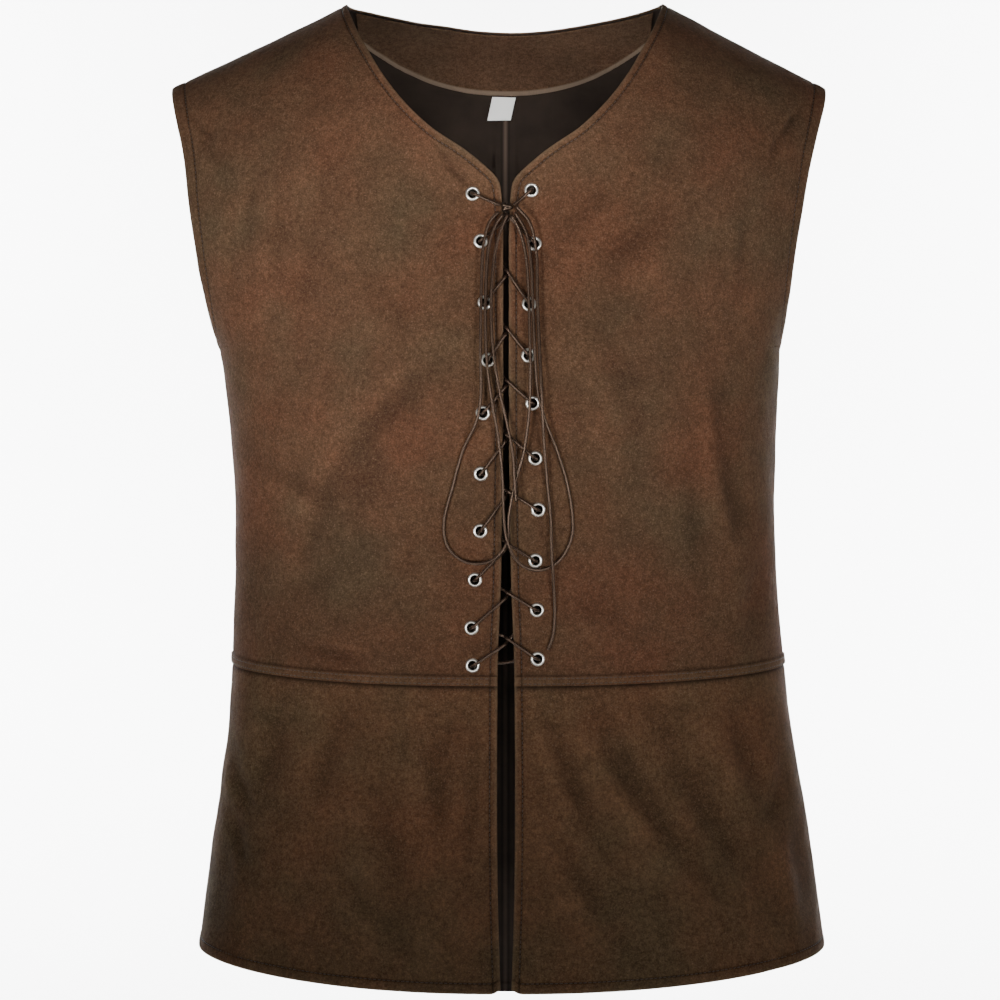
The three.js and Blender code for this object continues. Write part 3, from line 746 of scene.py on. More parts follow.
grids = {
    (face, part, hand): panel_grid(face, part, -1 if hand == "right" else 1)
    for face in ("front", "back")
    for part in ("bodice", "skirt")
    for hand in ("right", "left")
}
for key, grid in grids.items():
    print(*key, "grid:", grid["x"].shape)

# %% [markdown]
# ## Folded edges, seams and stitching
#
# A maker turns each free edge under and stitches it flat: 5 mm from the neckline and the front
# edges, 10 mm round the armholes and 7 mm above the hem. The line of stitching pulls the cloth into
# a narrow groove, with faint puckers along it, and the turned edge stays a little padded. At a seam
# the two panels simply roll inwards. All of it is height added to the outer face near an edge.

# %% Heights along the edges
ROUND = 0.85
FRONT_STITCH, ARMHOLE_STITCH, HEM_STITCH = 5, 10, 7
STRIP_STITCHES = (1.5, 5.1)


def smoothstep(value, low, high):
    t = np.clip((value - low) / (high - low), 0, 1)
    return t * t * (3 - 2 * t)


def rolled(distance):
    """The edge turns down through a quarter circle."""
    short = np.clip(ROUND - distance, 0, ROUND)
    return -(ROUND - np.sqrt(ROUND**2 - short**2)) * 0.95


def stitched(distance, line, along_edge):
    """A groove at the line of stitching, a padded edge, and puckers along both."""
    groove = -0.42 * bell(distance, line, 0.55)
    padding = 0.28 * bell(distance, line / 2, line * 0.36, 4)
    pucker = 0.14 * np.sin(along_edge * 2 * math.pi / 7.5 + 1.3 * np.sin(along_edge / 19))
    return groove + padding + pucker * bell(distance, line * 0.8, line * 0.55)


def seamed(distance):
    """A seam sinks in, and its allowance shows through beside it."""
    return 0.3 * bell(distance, 4, 3.2) - 0.55 * bell(distance, 0, 1.3)


def pressed_open(distance):
    """Inside, each side of a seam is doubled by its allowance, pressed flat."""
    return 0.8 * (1 - smoothstep(distance, 8.2, 9.4))


def turned_under(distance, wide):
    """Inside, an edge is doubled by the cloth that is turned under."""
    return 0.9 * smoothstep(wide - distance, 0, 1.2)


print("groove:", round(float(stitched(FRONT_STITCH, FRONT_STITCH, 0)), 2), "mm at the stitches")

# %% [markdown]
# The panel's outer face takes all of these heights. Its inner face lies one wall thickness below,
# with only the broad shape, and is doubled where an edge is turned under. Three more numbers are
# kept for each point of both faces, for the materials to use: how worn an edge is (on the inner face,
# how pale a seam's edge is), how deep in a groove the point lies, for painted shade there, and
# whether it is on the ridge or in the trough of a crease, for a painted highlight on the ridge and
# painted shade in the trough.

# %% Heights, wear and painted shade of a panel
# the suede's painted highlight on a crease's ridge and painted shade in its trough are full at this
# height
CREASE_FULL_SHADING = 2.2  # this height of a crease counts as a full ridge or trough
SEAM_TOP, NECK_FOOT = -15.5, -11.5  # where the centre back seam gives way to the neckline


def free_inner_edge(face, grid):
    """1 where the inner edge is a neckline or front edge, 0 where it is the centre back seam."""
    if face == "front":
        return np.ones_like(grid["x"])
    return smoothstep(grid["z"][:, :1], SEAM_TOP, NECK_FOOT) + 0 * grid["x"]


def free_outer_edge(part, grid):
    """1 along the armhole, 0 along a side seam."""
    if part == "skirt":
        return np.zeros_like(grid["x"])
    return smoothstep(grid["z"][:, -1:], UNDERARM - 1, UNDERARM + 3) + 0 * grid["x"]


def panel_heights(face, part, grid):
    """Heights of the outer and inner face, then how grooved (where shade is painted) and how worn
    both are.
    """
    x, z, from_in, from_out, low, high = grid.values()
    free_in, free_out = free_inner_edge(face, grid), free_outer_edge(part, grid)
    seam_in, seam_out = 1 - free_in, 1 - free_out
    base = lie(x, z, face)
    outer = base + (0.2 + 0.8 * free_in) * rolled(from_in) + rolled(from_out) + rolled(low)
    outer += rolled(high) + free_in * stitched(from_in, FRONT_STITCH, z + np.abs(x))
    outer += seam_in * smoothstep(high, 0, 14) * seamed(from_in) + seam_out * seamed(from_out)
    outer += free_out * stitched(from_out, ARMHOLE_STITCH, z)
    inner = base - WALL - 0.35 * (free_in * rolled(from_in) + free_out * rolled(from_out))
    inner -= seam_in * pressed_open(from_in) + seam_out * pressed_open(from_out)
    inner -= pressed_open(high) + free_out * turned_under(from_out, ARMHOLE_STITCH + 0.5)
    # painted shade in the stitch grooves along the free edges
    groove = free_in * bell(from_in, FRONT_STITCH, 0.6)
    groove += free_out * bell(from_out, ARMHOLE_STITCH, 0.6)
    worn = free_in * bell(from_in, 0, 1.6) + free_out * bell(from_out, 0, 1.8)
    if part == "skirt":
        outer += stitched(low, HEM_STITCH, np.abs(x)) - 0.9 * bell(high, 0, 2.6)
        inner -= turned_under(low, HEM_STITCH + 0.6) + 0.35 * rolled(low)
        # painted shade in the hem's stitch groove, and a painted shadow along the skirt's top, under
        # the waist strip
        groove += bell(low, HEM_STITCH, 0.6) + 1.2 * bell(high, 0, 2.2)
        worn += bell(low, 0, 1.8)
    else:
        strip = 1 - smoothstep(low, STRIP - 0.35, STRIP + 0.45)
        outer += 0.95 * strip - 0.25 * bell(low, STRIP + 1.4, 0.9) + seamed(high)
        outer -= 0.22 * sum(bell(low, line, 0.45) for line in STRIP_STITCHES)
        inner -= pressed_open(low)
        # painted shade in the dip just above the waist strip
        groove += 0.5 * bell(low, STRIP + 0.9, 0.8)
        worn += 0.35 * strip * smoothstep(low, 0.2, 1)
    # painted shade beside the seams on the inner face
    seam_shade_inside = seam_in * bell(from_in, 2.4, 0.8) + seam_out * bell(from_out, 2.4, 0.8)
    # on the inner face the seams' very edges are paler, more so higher up
    paler_seam_inside = seam_in * bell(from_in, 0, 1.5) + seam_out * bell(from_out, 0, 1.5)
    paler_seam_inside *= 0.25 + 0.75 * smoothstep(z, -400, -280)
    both_faces = np.clip([[groove, seam_shade_inside], [worn, paler_seam_inside]], 0, 1)
    return outer, inner, *both_faces


heights = {key: panel_heights(*key[:2], grid) for key, grid in grids.items()}
print("tallest:", round(max(float(outer.max()) for outer, *_ in heights.values()), 2), "mm")

# %% [markdown]
# A Solidify modifier could give the cloth its thickness, but the wrong side has its own shape here,
# with doubled edges and no stitching. So a wall is made from two grids of points, one for each face,
# and a rim closes it round all four edges.

# %% A closed wall of cloth
def wall_faces(rows, columns, flip):
    """Quads of a closed wall: outer face, inner face and the rim between them."""
    index = np.arange(rows * columns).reshape(rows, columns)
    a, b, c, d = index[:-1, :-1], index[:-1, 1:], index[1:, 1:], index[1:, :-1]
    outer = np.stack([a, b, c, d], axis=-1).reshape(-1, 4)
    inner = (np.stack([a, d, c, b], axis=-1) + rows * columns).reshape(-1, 4)
    loop = np.r_[index[0, :-1], index[:-1, -1], index[-1, :0:-1], index[:0:-1, 0]]
    behind_loop = loop + rows * columns
    rim = np.stack([np.roll(loop, -1), loop, behind_loop, np.roll(behind_loop, -1)], axis=-1)
    faces = np.vstack([outer, inner, rim])
    return faces[:, ::-1] if flip else faces


def wall(name, outside, inside, flip):
    """A closed piece of cloth between two grids of points."""
    points = np.vstack([outside.reshape(-1, 3), inside.reshape(-1, 3)])
    return new_piece(name, points, wall_faces(*outside.shape[:2], flip))


def keep_numbers(piece, name, values):
    """Keep one number for each point, for a material to read."""
    layer = piece.data.attributes.new(name, "FLOAT", "POINT")
    layer.data.foreach_set("value", np.ravel(values).astype(np.float32))


print("a wall of 2 by 2 points has", len(wall_faces(2, 2, False)), "faces")

# %% [markdown]
# The eight panels are made one after the other. Each keeps its flat cut as a UV map.

# %% Make a panel
def sheet_area(points):
    across = np.diff(points, axis=1)[:-1]
    up = np.diff(points, axis=0)[:, :-1]
    return float(np.linalg.norm(np.cross(across, up), axis=-1).sum())


def longest(points, axis):
    return float(np.linalg.norm(np.diff(points, axis=axis), axis=2).sum(axis=axis).max())


def make_panel(face, part, hand):
    grid, (outer, inner, groove, worn) = grids[face, part, hand], heights[face, part, hand]
    x, z = grid["x"], grid["z"]
    outside, inside = place(x, z, outer, face), place(x, z, inner, face)
    flip = (hand == "right") == (face == "front")
    panel = wall(f"suede_{face}_{part}_{hand}", outside, inside, flip)
    # painted highlight on crease ridges and painted shade in their troughs, for the suede's colour
    painted_crease_shading = np.clip(creases(x, z, face) / CREASE_FULL_SHADING, -1, 1)
    # the groove number carries painted shade
    keep_numbers(panel, "groove", groove)
    keep_numbers(panel, "worn", worn)
    keep_numbers(panel, "painted_crease_shading", [painted_crease_shading, painted_crease_shading])
    mesh = panel.data
    corners = np.empty(len(mesh.loops), np.int32)
    mesh.loops.foreach_get("vertex_index", corners)
    flat = np.stack([grid["from_in"].ravel(), grid["from_low"].ravel()], axis=1) * MM
    flat = np.tile(flat, (2, 1))[corners].ravel().astype(np.float32)
    mesh.uv_layers.new(name="cut").data.foreach_set("uv", flat)
    face_count = (x.shape[0] - 1) * (x.shape[1] - 1)
    on_inside = np.zeros(len(mesh.polygons), np.int32)
    on_inside[face_count : 2 * face_count] = 1
    mesh.polygons.foreach_set("material_index", on_inside)
    dress(panel, f"{face}_{part}_{hand}")
    return panel


panels = {key: make_panel(*key) for key in grids}

# %% [markdown]
# ## Stitching
#
# One stitch is a short thread sunk in its groove. A small sphere of few faces is drawn out to a
# stitch's length in edit mode, and its points are then repeated along every line of stitching: the
# neckline and front edges, the armholes, the hem, and both sides of the waist strip.

# %% One stitch
STITCH_STEP, STITCH_LONG, STITCH_THICK = 3.2, 2.5, 0.52
pick()
bpy.ops.mesh.primitive_uv_sphere_add(segments=6, ring_count=4, radius=0.5)
stitch = bpy.context.active_object
edit_all()
bpy.ops.transform.resize(value=(STITCH_THICK, STITCH_THICK, STITCH_LONG))
bpy.ops.object.mode_set(mode="OBJECT")
stitch_points = np.array([vertex.co[:] for vertex in stitch.data.vertices])
stitch_faces = [tuple(face.vertices) for face in stitch.data.polygons]
bpy.data.objects.remove(stitch)
print("stitch:", len(stitch_faces), "faces")

# %% [markdown]
# A line of stitching is read from a panel's grid, at a fixed distance from an edge. The stitches
# follow it in even steps, and each is turned to the line's own direction.

# %% Stitches along the lines
SUNK, ON_STRIP = -0.24, 0.86


def line_at(grid, distance_from, distance, lines):
    """x and z where each of these lines of the grid lies this far from an edge."""
    return [
        np.array([np.interp(distance, grid[distance_from][line], grid[axis][line]) for line in lines])
        for axis in ("x", "z")
    ]


def edge_line(grid, edge, distance, rows):
    """A line along the inner or outer edge, on these rows."""
    turn = slice(None, None, -1) if edge == "from_out" else slice(None)
    return line_at(grid, edge, distance, [(r, turn) for r in np.flatnonzero(rows)])


def level_line(grid, distance):
    """A line along the lower edge, between the two sides' edges."""
    clear = (grid["from_in"].min(axis=0) > FRONT_STITCH + 0.6) & (grid["from_out"].min(axis=0) > 1)
    return line_at(grid, "from_low", distance, [(slice(None), c) for c in np.flatnonzero(clear)])


def sew(name, face, lines):
    points, faces = [], []
    for x, z, depth in lines:
        line, _ = smooth_route(place(x, z, lie(x, z, face) + depth, face)[::2], STITCH_STEP)
        for start, end in zip(line, line[1:]):
            along_thread = (end - start) / np.linalg.norm(end - start)
            side = np.cross(along_thread, (0.2, 0.9, 0.4))
            side /= np.linalg.norm(side)
            turned = np.stack([side, np.cross(along_thread, side), along_thread])
            faces += [tuple(i + len(points) * len(stitch_points) for i in f) for f in stitch_faces]
            points.append((start + end) / 2 + stitch_points @ turned)
    seam = new_piece(name, np.vstack(points), faces)
    dress(seam)
    print(name, len(points), "stitches")
    return seam


threads = []
for (face, part, hand), grid in grids.items():
    lines = []
    low, high = grid["from_low"][:, 0], grid["from_high"][:, 0]
    if face == "front" or part == "bodice":
        free = (free_inner_edge(face, grid)[:, 0] > 0.9) & (low > 7.5) & (high > 0.8)
        lines.append((*edge_line(grid, "from_in", FRONT_STITCH, free), SUNK))
    if part == "bodice":
        armhole = (free_outer_edge(part, grid)[:, 0] > 0.9) & (high > 0.8)
        lines.append((*edge_line(grid, "from_out", ARMHOLE_STITCH, armhole), SUNK))
        lines += [(*level_line(grid, distance), ON_STRIP) for distance in STRIP_STITCHES]
    else:
        lines.append((*level_line(grid, HEM_STITCH), SUNK))
    threads.append(sew(f"stitching_{face}_{part}_{hand}", face, lines))

# %% [markdown]
# ## Eyelets
#
# An eyelet is a short tube of thin metal whose rim is rolled out over the cloth. A circle is
# extruded and scaled ring by ring to follow the rolled rim and the barrel, and the last ring is
# bridged to the first. It is made once, then copied to each hole with its own mesh.

# %% One eyelet
# radius and height of each ring, in millimetres, from inside the bore over the rim to the barrel
EYELET_RINGS = [
    (3, -2.2), (3, 0.35), (3.07, 0.75), (3.28, 1.05), (3.62, 1.2), (3.98, 1.16), (4.34, 0.94),
    (4.68, 0.6), (4.94, 0.24), (4.88, 0.08), (4.2, 0.03), (3.5, 0.03), (3.3, -0.3), (3.3, -2.2),
]
pick()
bpy.ops.mesh.primitive_circle_add(vertices=32, radius=EYELET_RINGS[0][0] * MM, fill_type="NOTHING")
eyelet = bpy.context.active_object
edit_all()
bpy.ops.transform.translate(value=(0, 0, EYELET_RINGS[0][1] * MM))
for (radius, height), (next_radius, next_height) in zip(EYELET_RINGS, EYELET_RINGS[1:]):
    bpy.ops.mesh.extrude_region_move(
        TRANSFORM_OT_translate={"value": (0, 0, (next_height - height) * MM)}
    )
    grow = next_radius / radius
    bpy.ops.transform.resize(value=(grow, grow, 1))
bpy.ops.mesh.select_all(action="DESELECT")
bpy.ops.mesh.select_non_manifold()
bpy.ops.mesh.bridge_edge_loops()
bpy.ops.mesh.select_all(action="SELECT")
bpy.ops.mesh.normals_make_consistent(inside=False)
bpy.ops.object.mode_set(mode="OBJECT")
bpy.ops.object.shade_smooth()
print("eyelet:", len(eyelet.data.polygons), "faces")

# %% [markdown]
# Each hole is punched square to the cloth. All the drills of one front are joined, so one boolean
# cuts its ten holes, and each ring is then turned to the same direction.

# %% Punch the holes and set the eyelets
DRILL_RADIUS, DRILL_LONG = 3.7, 12


def seat(x, z):
    """A matrix that takes Z to the cloth's outward direction at a place on the front."""
    height = lie(x, z, "front")
    ground = Vector(place(x, z, height, "front") * MM)
    out = (Vector(place(x, z, height + 1, "front") * MM) - ground).normalized()
    turn = Vector((0, 0, 1)).rotation_difference(out).to_matrix().to_4x4()
    return Matrix.Translation(ground) @ turn


def set_eyelet(hand, i, at):
    ring = bpy.data.objects.new(f"metal_eyelet_{hand}_{i + 1:02d}", eyelet.data.copy())
    bpy.context.collection.objects.link(ring)
    ring.data.transform(at)
    dress(ring, f"eyelet_{hand}_{i + 1:02d}")
    return ring


eyelets = []
for hand, side in (("right", -1), ("left", 1)):
    drills = []
    for i in range(len(EYELETS)):
        at = seat(*hole(side, i))
        pick()
        bpy.ops.mesh.primitive_cylinder_add(
            vertices=24, radius=DRILL_RADIUS * MM, depth=DRILL_LONG * MM
        )
        drills.append(bpy.context.active_object)
        drills[-1].data.transform(at)
        eyelets.append(set_eyelet(hand, i, at))
    pick(*drills)
    bpy.ops.object.join()
    front = panels["front", "bodice", hand]
    cut = front.modifiers.new("punched", "BOOLEAN")
    cut.operation = "DIFFERENCE"
    cut.solver = "MANIFOLD"
    cut.object = drills[0]
    pick(front)
    bpy.ops.object.modifier_apply(modifier=cut.name)
    bpy.data.objects.remove(drills[0])
    print(front.name, "after punching:", len(front.data.polygons), "faces")
bpy.data.objects.remove(eyelet)

# %% [markdown]
# ## Neck facing and label
#
# Inside the back neck lies a half-moon of the same suede, with its curved lower edge overlocked in
# pale thread. A small white label, left bare, is sewn in just below it.

# %% The facing
FACING_DEPTH, FACING_SHOULDER, FACING_HALF, FACING_CURVE = 52, 17, 105.5, 2.2
FACING_TURN = math.pi / 2 * 0.92
THREAD_STEP, THREAD_TALL = 1.9, 0.16
sides = np.sin(np.linspace(-1, 1, 141) * FACING_TURN) / math.sin(FACING_TURN)
downs = np.r_[0, 0.012, 0.03, np.linspace(0.06, 0.88, 22), 0.905, 0.93, 0.955, 0.975, 0.99, 1]
x = FACING_HALF * sides[None, :] + 0 * downs[:, None]
top = back_neck(x) - 0.1
foot = -FACING_DEPTH + (FACING_DEPTH - FACING_SHOULDER) * np.abs(sides[None, :]) ** FACING_CURVE
z = top + (foot - top) * downs[:, None]
overlock = 1 - smoothstep(z - foot, 2.6, 3.6)
thread_wave = THREAD_TALL * np.sin(x * 2 * math.pi / THREAD_STEP + (z - foot) * 1.1) * overlock
height = lie(x, z, "back") - WALL - 1.1
against_back = place(x, z, height, "back")
shown = place(x, z, height - 1 - 0.22 * overlock - thread_wave, "back")
facing = wall("suede_neck_facing", against_back, shown, True)
keep_numbers(facing, "overlock", [overlock, overlock])
dress(facing, "back_neck_facing")
print("facing area:", round(sheet_area(shown) / 100), "cm2")

# %% [markdown]
# The label is a piece of woven tape, folded under at its top and its foot. It hangs from its top, so
# its foot curls a little away from the back.

# %% The label
LABEL_WIDE, LABEL_HIGH, LABEL_TOP, LABEL_MIDDLE, LABEL_SLANT = 17.4, 16, -53.4, -1, 3.8
across = np.linspace(-0.5, 0.5, 25)[None, :]
down = np.linspace(0, 1, 23)[:, None]
x = LABEL_MIDDLE + LABEL_WIDE * across - LABEL_SLANT * down
z = LABEL_TOP - LABEL_HIGH * down + 0 * across
curl = 0.9 * down**2 + 0.25 * np.sin(across * 5 + down * 3)
folded = 0.12 * (smoothstep(down, 0.86, 0.88) + smoothstep(-down, -0.1, -0.08)) + 0 * across
height = lie(x, z, "back") - WALL - 1.05 - curl
shown = place(x, z, height - 0.45 - folded, "back")
label = wall("bare_label", place(x, z, height, "back"), shown, True)
dress(label, "neck_label")
print("label area:", round(sheet_area(shown)), "mm2")

# %% [markdown]
# ## Materials
#
# Suede-like cloth has a short soft nap. What the eye reads as suede is a cloudy mottle, warm in
# some places and greenish in others, a fine speckle of fibre tips, no gloss at all, and a faint pale
# sheen where the surface turns away. Noise on object coordinates gives the mottle its real size on
# every panel. The numbers kept for each point lighten worn edges, paint shade into the grooves, and
# paint each crease's ridge pale as a highlight and its trough dark as shade.

# %% Helpers for node trees
def new_material(name):
    material = bpy.data.materials.new(name)
    material.use_nodes = True
    return material, material.node_tree


def fill(tree, made, inputs):
    """Give a node's sockets their links or values."""
    for key, value in inputs.items():
        if isinstance(value, bpy.types.NodeSocket):
            tree.links.new(value, made.inputs[key])
        else:
            made.inputs[key].default_value = value


def node(tree, kind, inputs=None, **settings):
    made = tree.nodes.new(kind)
    for key, value in settings.items():
        setattr(made, key, value)
    fill(tree, made, inputs or {})
    return made


def places(tree):
    """Where each point lies on its piece, in metres, so that a pattern keeps its real size."""
    return node(tree, "ShaderNodeTexCoord").outputs["Object"]


def finish(material, inputs):
    fill(material.node_tree, material.node_tree.nodes["Principled BSDF"], inputs)
    return material


print("plain finishes of the solids:", len(bpy.data.materials))

# %% [markdown]
# A finish here is noise, fine waves and blends of two colours, so each of these is a helper as well.
# Colours are written as they show on a screen, and turned into the linear values a shader needs.

# %% Patterns and colours
def noise(tree, where, scale, detail, roughness=0.55):
    inputs = {"Vector": where, "Scale": scale, "Detail": detail, "Roughness": roughness}
    return node(tree, "ShaderNodeTexNoise", inputs).outputs["Fac"]


def threads_of(tree, where, scale, **settings):
    """Fine parallel threads."""
    inputs = {"Vector": where, "Scale": scale, "Distortion": settings.pop("distortion", 0)}
    return node(tree, "ShaderNodeTexWave", inputs, **settings).outputs["Fac"]


def maths(tree, operation, *inputs):
    return node(tree, "ShaderNodeMath", dict(enumerate(inputs)), operation=operation).outputs[0]


def ranged(tree, value, low, high, to_low=0.0, to_high=1.0):
    inputs = {"Value": value, "From Min": low, "From Max": high, "To Min": to_low, "To Max": to_high}
    return node(tree, "ShaderNodeMapRange", inputs).outputs["Result"]


def bump(tree, height, strength, deep, under=None):
    """Relief this many millimetres deep, laid over a coarser one if there is one."""
    inputs = {"Strength": strength, "Distance": deep * MM, "Height": height}
    if under:
        inputs["Normal"] = under
    return node(tree, "ShaderNodeBump", inputs).outputs["Normal"]


def linear(red, green, blue):
    """A colour given in display values from 0 to 255."""
    return tuple(
        (c / 12.92 if c <= 0.04045 else ((c + 0.055) / 1.055) ** 2.4)
        for c in (red / 255, green / 255, blue / 255)
    ) + (1.0,)


def blend(tree, kind, factor, first, second):
    """Mix two colours, each a link or three display values."""
    first, second = (linear(*c) if isinstance(c, tuple) else c for c in (first, second))
    inputs = {0: factor, 6: first, 7: second}
    return node(tree, "ShaderNodeMix", inputs, data_type="RGBA", blend_type=kind).outputs[2]


def colour_where(tree, base, name, most, colour):
    """Another colour where the number that each point keeps under this name is high."""
    kept = node(tree, "ShaderNodeAttribute", attribute_name=name).outputs["Fac"]
    return blend(tree, "MIX", ranged(tree, kept, 0, 1, 0, most), base, colour)


print("mid suede:", [round(c, 3) for c in linear(88, 64, 46)])

# %% [markdown]
# The suede is built up like its nap: a cloud of two browns, three grains of light and dark, the
# painted highlight and shade of the creases, the fleck of fibre tips, and last the painted shade of
# the grooves and the worn edges. A coarse and a fine bump raise the clumps and the fibres. Bodice,
# skirts and facing are one cloth in slightly different colours; the skirts' is painted a little
# brighter to make up for the weaker light on them, and the facing also has the pale thread of its
# overlocked edge.

# %% Suede
# scale and detail of a noise, and how dark and how light it makes the cloth
SUEDE_SHADES = [(44, 5, 0.86, 1.14), (330, 3, 0.74, 1.26), (1000, 1, 0.76, 1.24)]
WORN = (104, 88, 68)


def suede(name, warm, olive, groove_shade, fleck, edge=None):
    material, tree = new_material(name)
    where = places(tree)
    cloud = ranged(tree, noise(tree, where, 13, 3), 0.33, 0.67)
    base = blend(tree, "MIX", cloud, warm, olive)
    shades = [
        ranged(tree, noise(tree, where, scale, detail, 0.66), 0.32, 0.68, low, high)
        for scale, detail, low, high in SUEDE_SHADES
    ]
    # painted highlight on crease ridges and painted shade in their troughs
    painted_crease_shading = node(tree, "ShaderNodeAttribute", attribute_name="painted_crease_shading").outputs["Fac"]
    for shade in [*shades, ranged(tree, painted_crease_shading, -1, 1, 0.74, 1.26)]:
        grey = node(tree, "ShaderNodeCombineColor", {"Red": shade, "Green": shade, "Blue": shade})
        base = blend(tree, "MULTIPLY", 1.0, base, grey.outputs["Color"])
    speckle = ranged(tree, noise(tree, where, 820, 2, 0.7), 0.56, 0.72, 0.0, 0.42)
    base = blend(tree, "MIX", speckle, base, fleck)
    # painted shade in the grooves
    base = colour_where(tree, base, "groove", 0.7, groove_shade)
    base = colour_where(tree, base, "worn", 0.34, WORN)
    if edge:
        base = colour_where(tree, base, "overlock", 0.6, edge)
    clumps = bump(tree, noise(tree, where, 230, 4, 0.65), 0.7, 1)
    return finish(material, {
        "Base Color": base,
        "Normal": bump(tree, noise(tree, where, 1500, 2, 0.8), 0.55, 0.4, clumps),
        "Roughness": 0.95,
        "Specular IOR Level": 0.1,
        "Sheen Weight": 0.03,
        "Sheen Roughness": 0.55,
        "Sheen Tint": linear(190, 155, 125),
    })


# each suede's fourth colour is the painted shade in its grooves
suede_bodice = suede("suede_bodice", (77, 51, 36), (66, 52, 37), (16, 11, 7), (116, 90, 71))
# the skirts' suede is painted a little brighter than the bodice's, to make up for the weaker light on
# them
suede_skirt_painted_brighter = suede("suede_skirt_painted_brighter", (81, 56, 39), (70, 56, 39), (15, 10, 7), (116, 91, 71))
suede_facing = suede(
    "suede_facing", (74, 54, 40), (67, 52, 39), (16, 11, 7), (82, 66, 53), (128, 112, 96)
)
print("suedes:", suede_bodice.name, suede_skirt_painted_brighter.name, suede_facing.name)

# %% [markdown]
# The wrong side is a dark, close knit backing, and fine parallel ribs are enough for its threads at
# this size. The twist of the sewing thread and the weave of the label are finer threads of this kind.

# %% Backing, thread and label
def backing():
    material, tree = new_material("dark_backing")
    where = places(tree)
    tone = ranged(tree, noise(tree, where, 30, 4), 0.3, 0.7)
    base = blend(tree, "MIX", tone, (34, 26, 21), (46, 37, 30))
    # painted shade in the grooves and beside the seams inside
    base = colour_where(tree, base, "groove", 0.8, (12, 9, 7))
    # paler at the seams' edges inside, more so higher up
    base = colour_where(tree, base, "worn", 0.4, (112, 94, 82))
    ribs = threads_of(tree, where, 330, distortion=1.5)
    normal = bump(tree, ribs, 0.35, 0.3)
    return finish(
        material, {"Base Color": base, "Normal": normal, "Roughness": 0.9, "Specular IOR Level": 0.2}
    )


def sewing_thread():
    material, tree = new_material("sewing_thread")
    where = places(tree)
    twist = threads_of(tree, where, 700, bands_direction="DIAGONAL")
    base = blend(tree, "MIX", twist, (36, 25, 18), (60, 44, 33))
    return finish(material, {"Base Color": base, "Roughness": 0.6})


def label_weave():
    material, tree = new_material("white_label")
    where = places(tree)
    weave = threads_of(tree, where, 900, distortion=0.4, bands_direction="Z")
    base = blend(tree, "MIX", weave, (232, 230, 224), (248, 247, 243))
    normal = bump(tree, weave, 0.3, 0.2)
    return finish(material, {"Base Color": base, "Normal": normal, "Roughness": 0.7})


dark_backing, thread, white_label = backing(), sewing_thread(), label_weave()
print("cloths:", dark_backing.name, thread.name, white_label.name)

# %% [markdown]
# An eyelet is plated steel, dulled a little by wear, so its roughness varies. The cord's braid is two
# slanting waves that run along its UV map, so the plait follows every bend. The same waves paint the
# cord's colour: near-black in the braid's grooves as painted shade, and paler on its ridges as a
# painted highlight.

# %% Metal and cord
def eyelet_metal():
    material, tree = new_material("plated_eyelet")
    where = places(tree)
    tone = ranged(tree, noise(tree, where, 120, 2), 0.4, 0.7)
    base = blend(tree, "MIX", tone, (248, 245, 237), (224, 218, 206))
    wear = ranged(tree, noise(tree, where, 260, 3), 0.3, 0.7, 0.3, 0.42)
    return finish(material, {"Base Color": base, "Roughness": wear, "Metallic": 1})


def braided_cord():
    material, tree = new_material("braided_cord")
    uv = node(tree, "ShaderNodeUVMap", uv_map="length_and_turn").outputs["UV"]
    split = node(tree, "ShaderNodeSeparateXYZ", {"Vector": uv}).outputs
    run = maths(tree, "MULTIPLY", split["X"], 420.0)
    plait = []
    for way in (3.0, -3.0):
        phase = maths(tree, "ADD", maths(tree, "MULTIPLY", split["Y"], way), run)
        plait.append(maths(tree, "SINE", maths(tree, "MULTIPLY", phase, 2 * math.pi)))
    height = maths(tree, "MAXIMUM", *plait)
    return finish(material, {
        # painted shade in the braid's grooves and a painted highlight on its ridges
        "Base Color": blend(tree, "MIX", ranged(tree, height, 0.2, 1), (9, 6, 4), (48, 35, 28)),
        "Normal": bump(tree, height, 0.22, 0.3),
        "Roughness": 0.38,
        "Specular IOR Level": 1,
        "Specular Tint": linear(225, 190, 165),
    })


plated, braid = eyelet_metal(), braided_cord()
print("hard finishes:", plated.name, braid.name)

# %% [markdown]
# The faces of a panel already know whether they are outside or inside, so its suede and its backing
# go into its two slots in that order. Every other piece has one finish.

# %% Give each piece its finish
def paint(pieces, *finishes):
    """Fill the pieces' slots in order, so that no face moves to another slot."""
    for piece in pieces:
        slots = piece.data.materials
        for slot, material in enumerate(finishes):
            if slot < len(slots):
                slots[slot] = material
            else:
                slots.append(material)
    print(*(material.name for material in finishes), "on", len(pieces), "pieces")


paint([facing], suede_facing)
paint([label], white_label)
for part, cloth in (("bodice", suede_bodice), ("skirt", suede_skirt_painted_brighter)):
    paint([panel for key, panel in panels.items() if part in key], cloth, dark_backing)
paint(eyelets, plated)
paint(cords, braid)
paint(threads, thread)

# %% [markdown]
# ## Floor, backdrop and light
#
# A pale floor far below curves up behind the garment, so no horizon shows from the front. The curve
# is made by extruding the floor's back edge in short turns, as paper hangs from a roll in a studio.

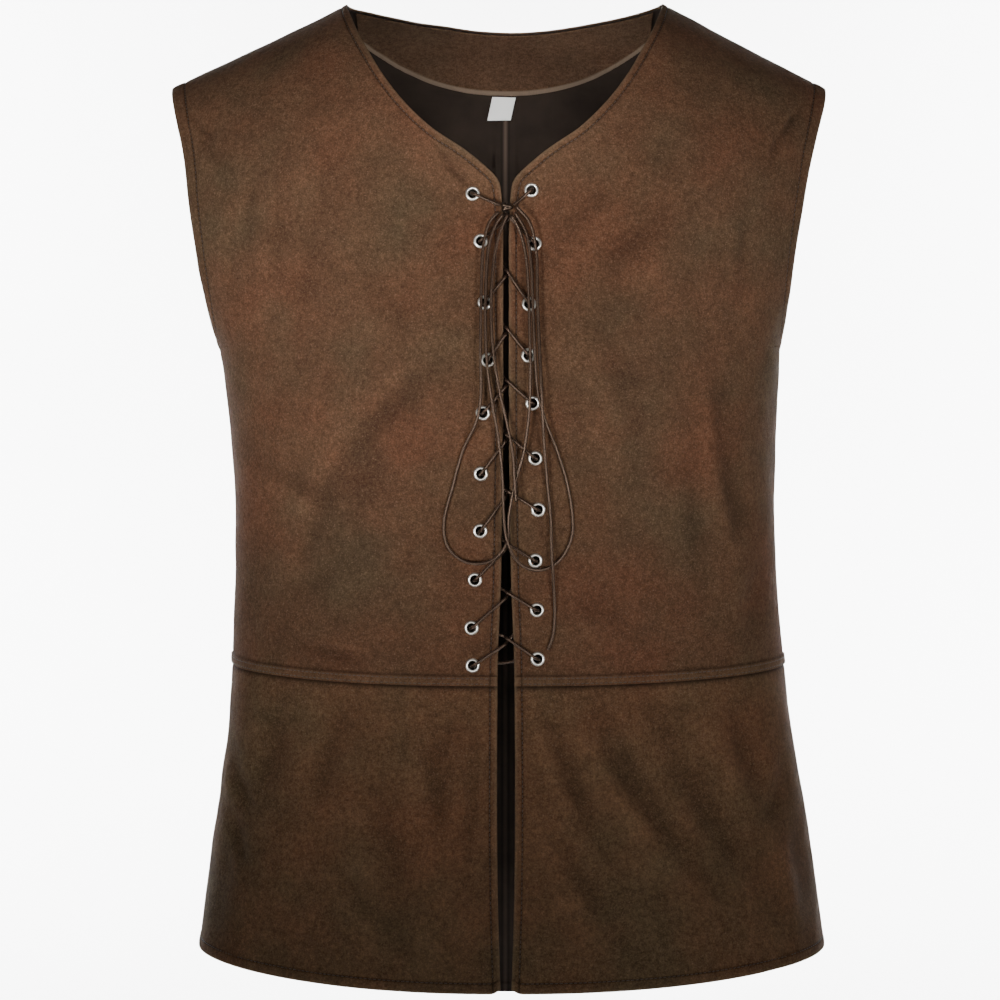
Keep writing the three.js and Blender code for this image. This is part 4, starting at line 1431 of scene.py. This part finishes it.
# %% Studio
FLOOR_LEVEL, FLOOR_WIDE, FLOOR_DEEP = -1.35, 14, 6
SWEEP_STEP, BACKDROP_HIGH = 0.22, 5
pick()
bpy.ops.mesh.primitive_plane_add(size=1, location=(0, 0, 0))
studio = bpy.context.active_object
studio.name = "studio_floor"
edit_all()
bpy.ops.transform.resize(value=(FLOOR_WIDE, FLOOR_DEEP, 1))
bpy.ops.transform.translate(value=(0, -0.2, FLOOR_LEVEL))
bpy.ops.mesh.select_all(action="DESELECT")
bpy.ops.object.mode_set(mode="OBJECT")
for edge in studio.data.edges:
    edge.select = all(studio.data.vertices[v].co.y > 0 for v in edge.vertices)
bpy.ops.object.mode_set(mode="EDIT")
bpy.ops.mesh.select_mode(type="EDGE")
for angle in range(6, 91, 12):
    ahead, up = SWEEP_STEP * math.cos(math.radians(angle)), SWEEP_STEP * math.sin(math.radians(angle))
    bpy.ops.mesh.extrude_region_move(TRANSFORM_OT_translate={"value": (0, ahead, up)})
bpy.ops.mesh.extrude_region_move(TRANSFORM_OT_translate={"value": (0, 0, BACKDROP_HIGH)})
bpy.ops.object.mode_set(mode="OBJECT")
bpy.ops.object.shade_smooth()
paper, tree = new_material("studio_paper")
tone = blend(tree, "MIX", noise(tree, places(tree), 3, 2), (238, 238, 238), (246, 246, 246))
paint([studio], finish(paper, {"Base Color": tone, "Roughness": 0.95}))

# %% [markdown]
# Two soft lamps with narrow beams stand at waist height, in front and to both sides, and shine up at
# the chest, while the garment's sides turn away from them and fall darker. A broad weak one lifts the
# skirts, and two small ones reach the inside, at the neck and from under the hem. The last two light
# the backdrop.

# %% Lamps
def lamp(name, location, target, size, power, beam):
    """A soft lamp of this width and height in metres, with a beam this many degrees wide."""
    bpy.ops.object.light_add(type="AREA", location=location)
    made = bpy.context.active_object
    made.name = name
    made.rotation_euler = (Vector(target) - Vector(location)).to_track_quat("-Z", "Y").to_euler()
    made.data.shape = "RECTANGLE"
    made.data.size, made.data.size_y = size
    made.data.energy = power
    made.data.spread = math.radians(beam)


lamp("key_right", (-0.7, -1.15, -0.52), (-0.14, -0.1, -0.16), (0.4, 0.4), 1.22, 36)
lamp("key_left", (0.85, -1.4, -0.56), (0.14, -0.1, -0.16), (0.5, 0.5), 1.16, 36)
lamp("front_wash", (0, -3.2, -0.76), (0, 0, -0.86), (1.6, 0.9), 1.45, 30)
lamp("neck_light", (0, -1, -0.04), (0, 0.1, -0.06), (0.1, 0.1), 0.064, 10)
lamp("hem_light", (0, -0.02, -1.1), (0, 0.08, -0.3), (0.25, 0.25), 0.08, 60)
lamp("backdrop_left", (-2.6, 1.4, 1.6), (-1.2, 3.8, -0.4), (1.4, 1.4), 370, 100)
lamp("backdrop_right", (2.6, 1.4, 1.6), (1.2, 3.8, -0.4), (1.4, 1.4), 370, 100)
world = bpy.data.worlds.new("soft_room")
bpy.context.scene.world = world
world.use_nodes = True
fill(
    world.node_tree,
    world.node_tree.nodes["Background"],
    {"Color": (1, 1, 1, 1), "Strength": 0.14},
)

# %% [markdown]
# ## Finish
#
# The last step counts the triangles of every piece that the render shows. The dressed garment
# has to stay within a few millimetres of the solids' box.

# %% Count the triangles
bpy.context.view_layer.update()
triangles = sum(
    sum(len(face.vertices) - 2 for face in piece.data.polygons)
    for piece in bpy.data.objects
    if piece.type == "MESH" and not piece.hide_render
)
print("triangles shown:", triangles)
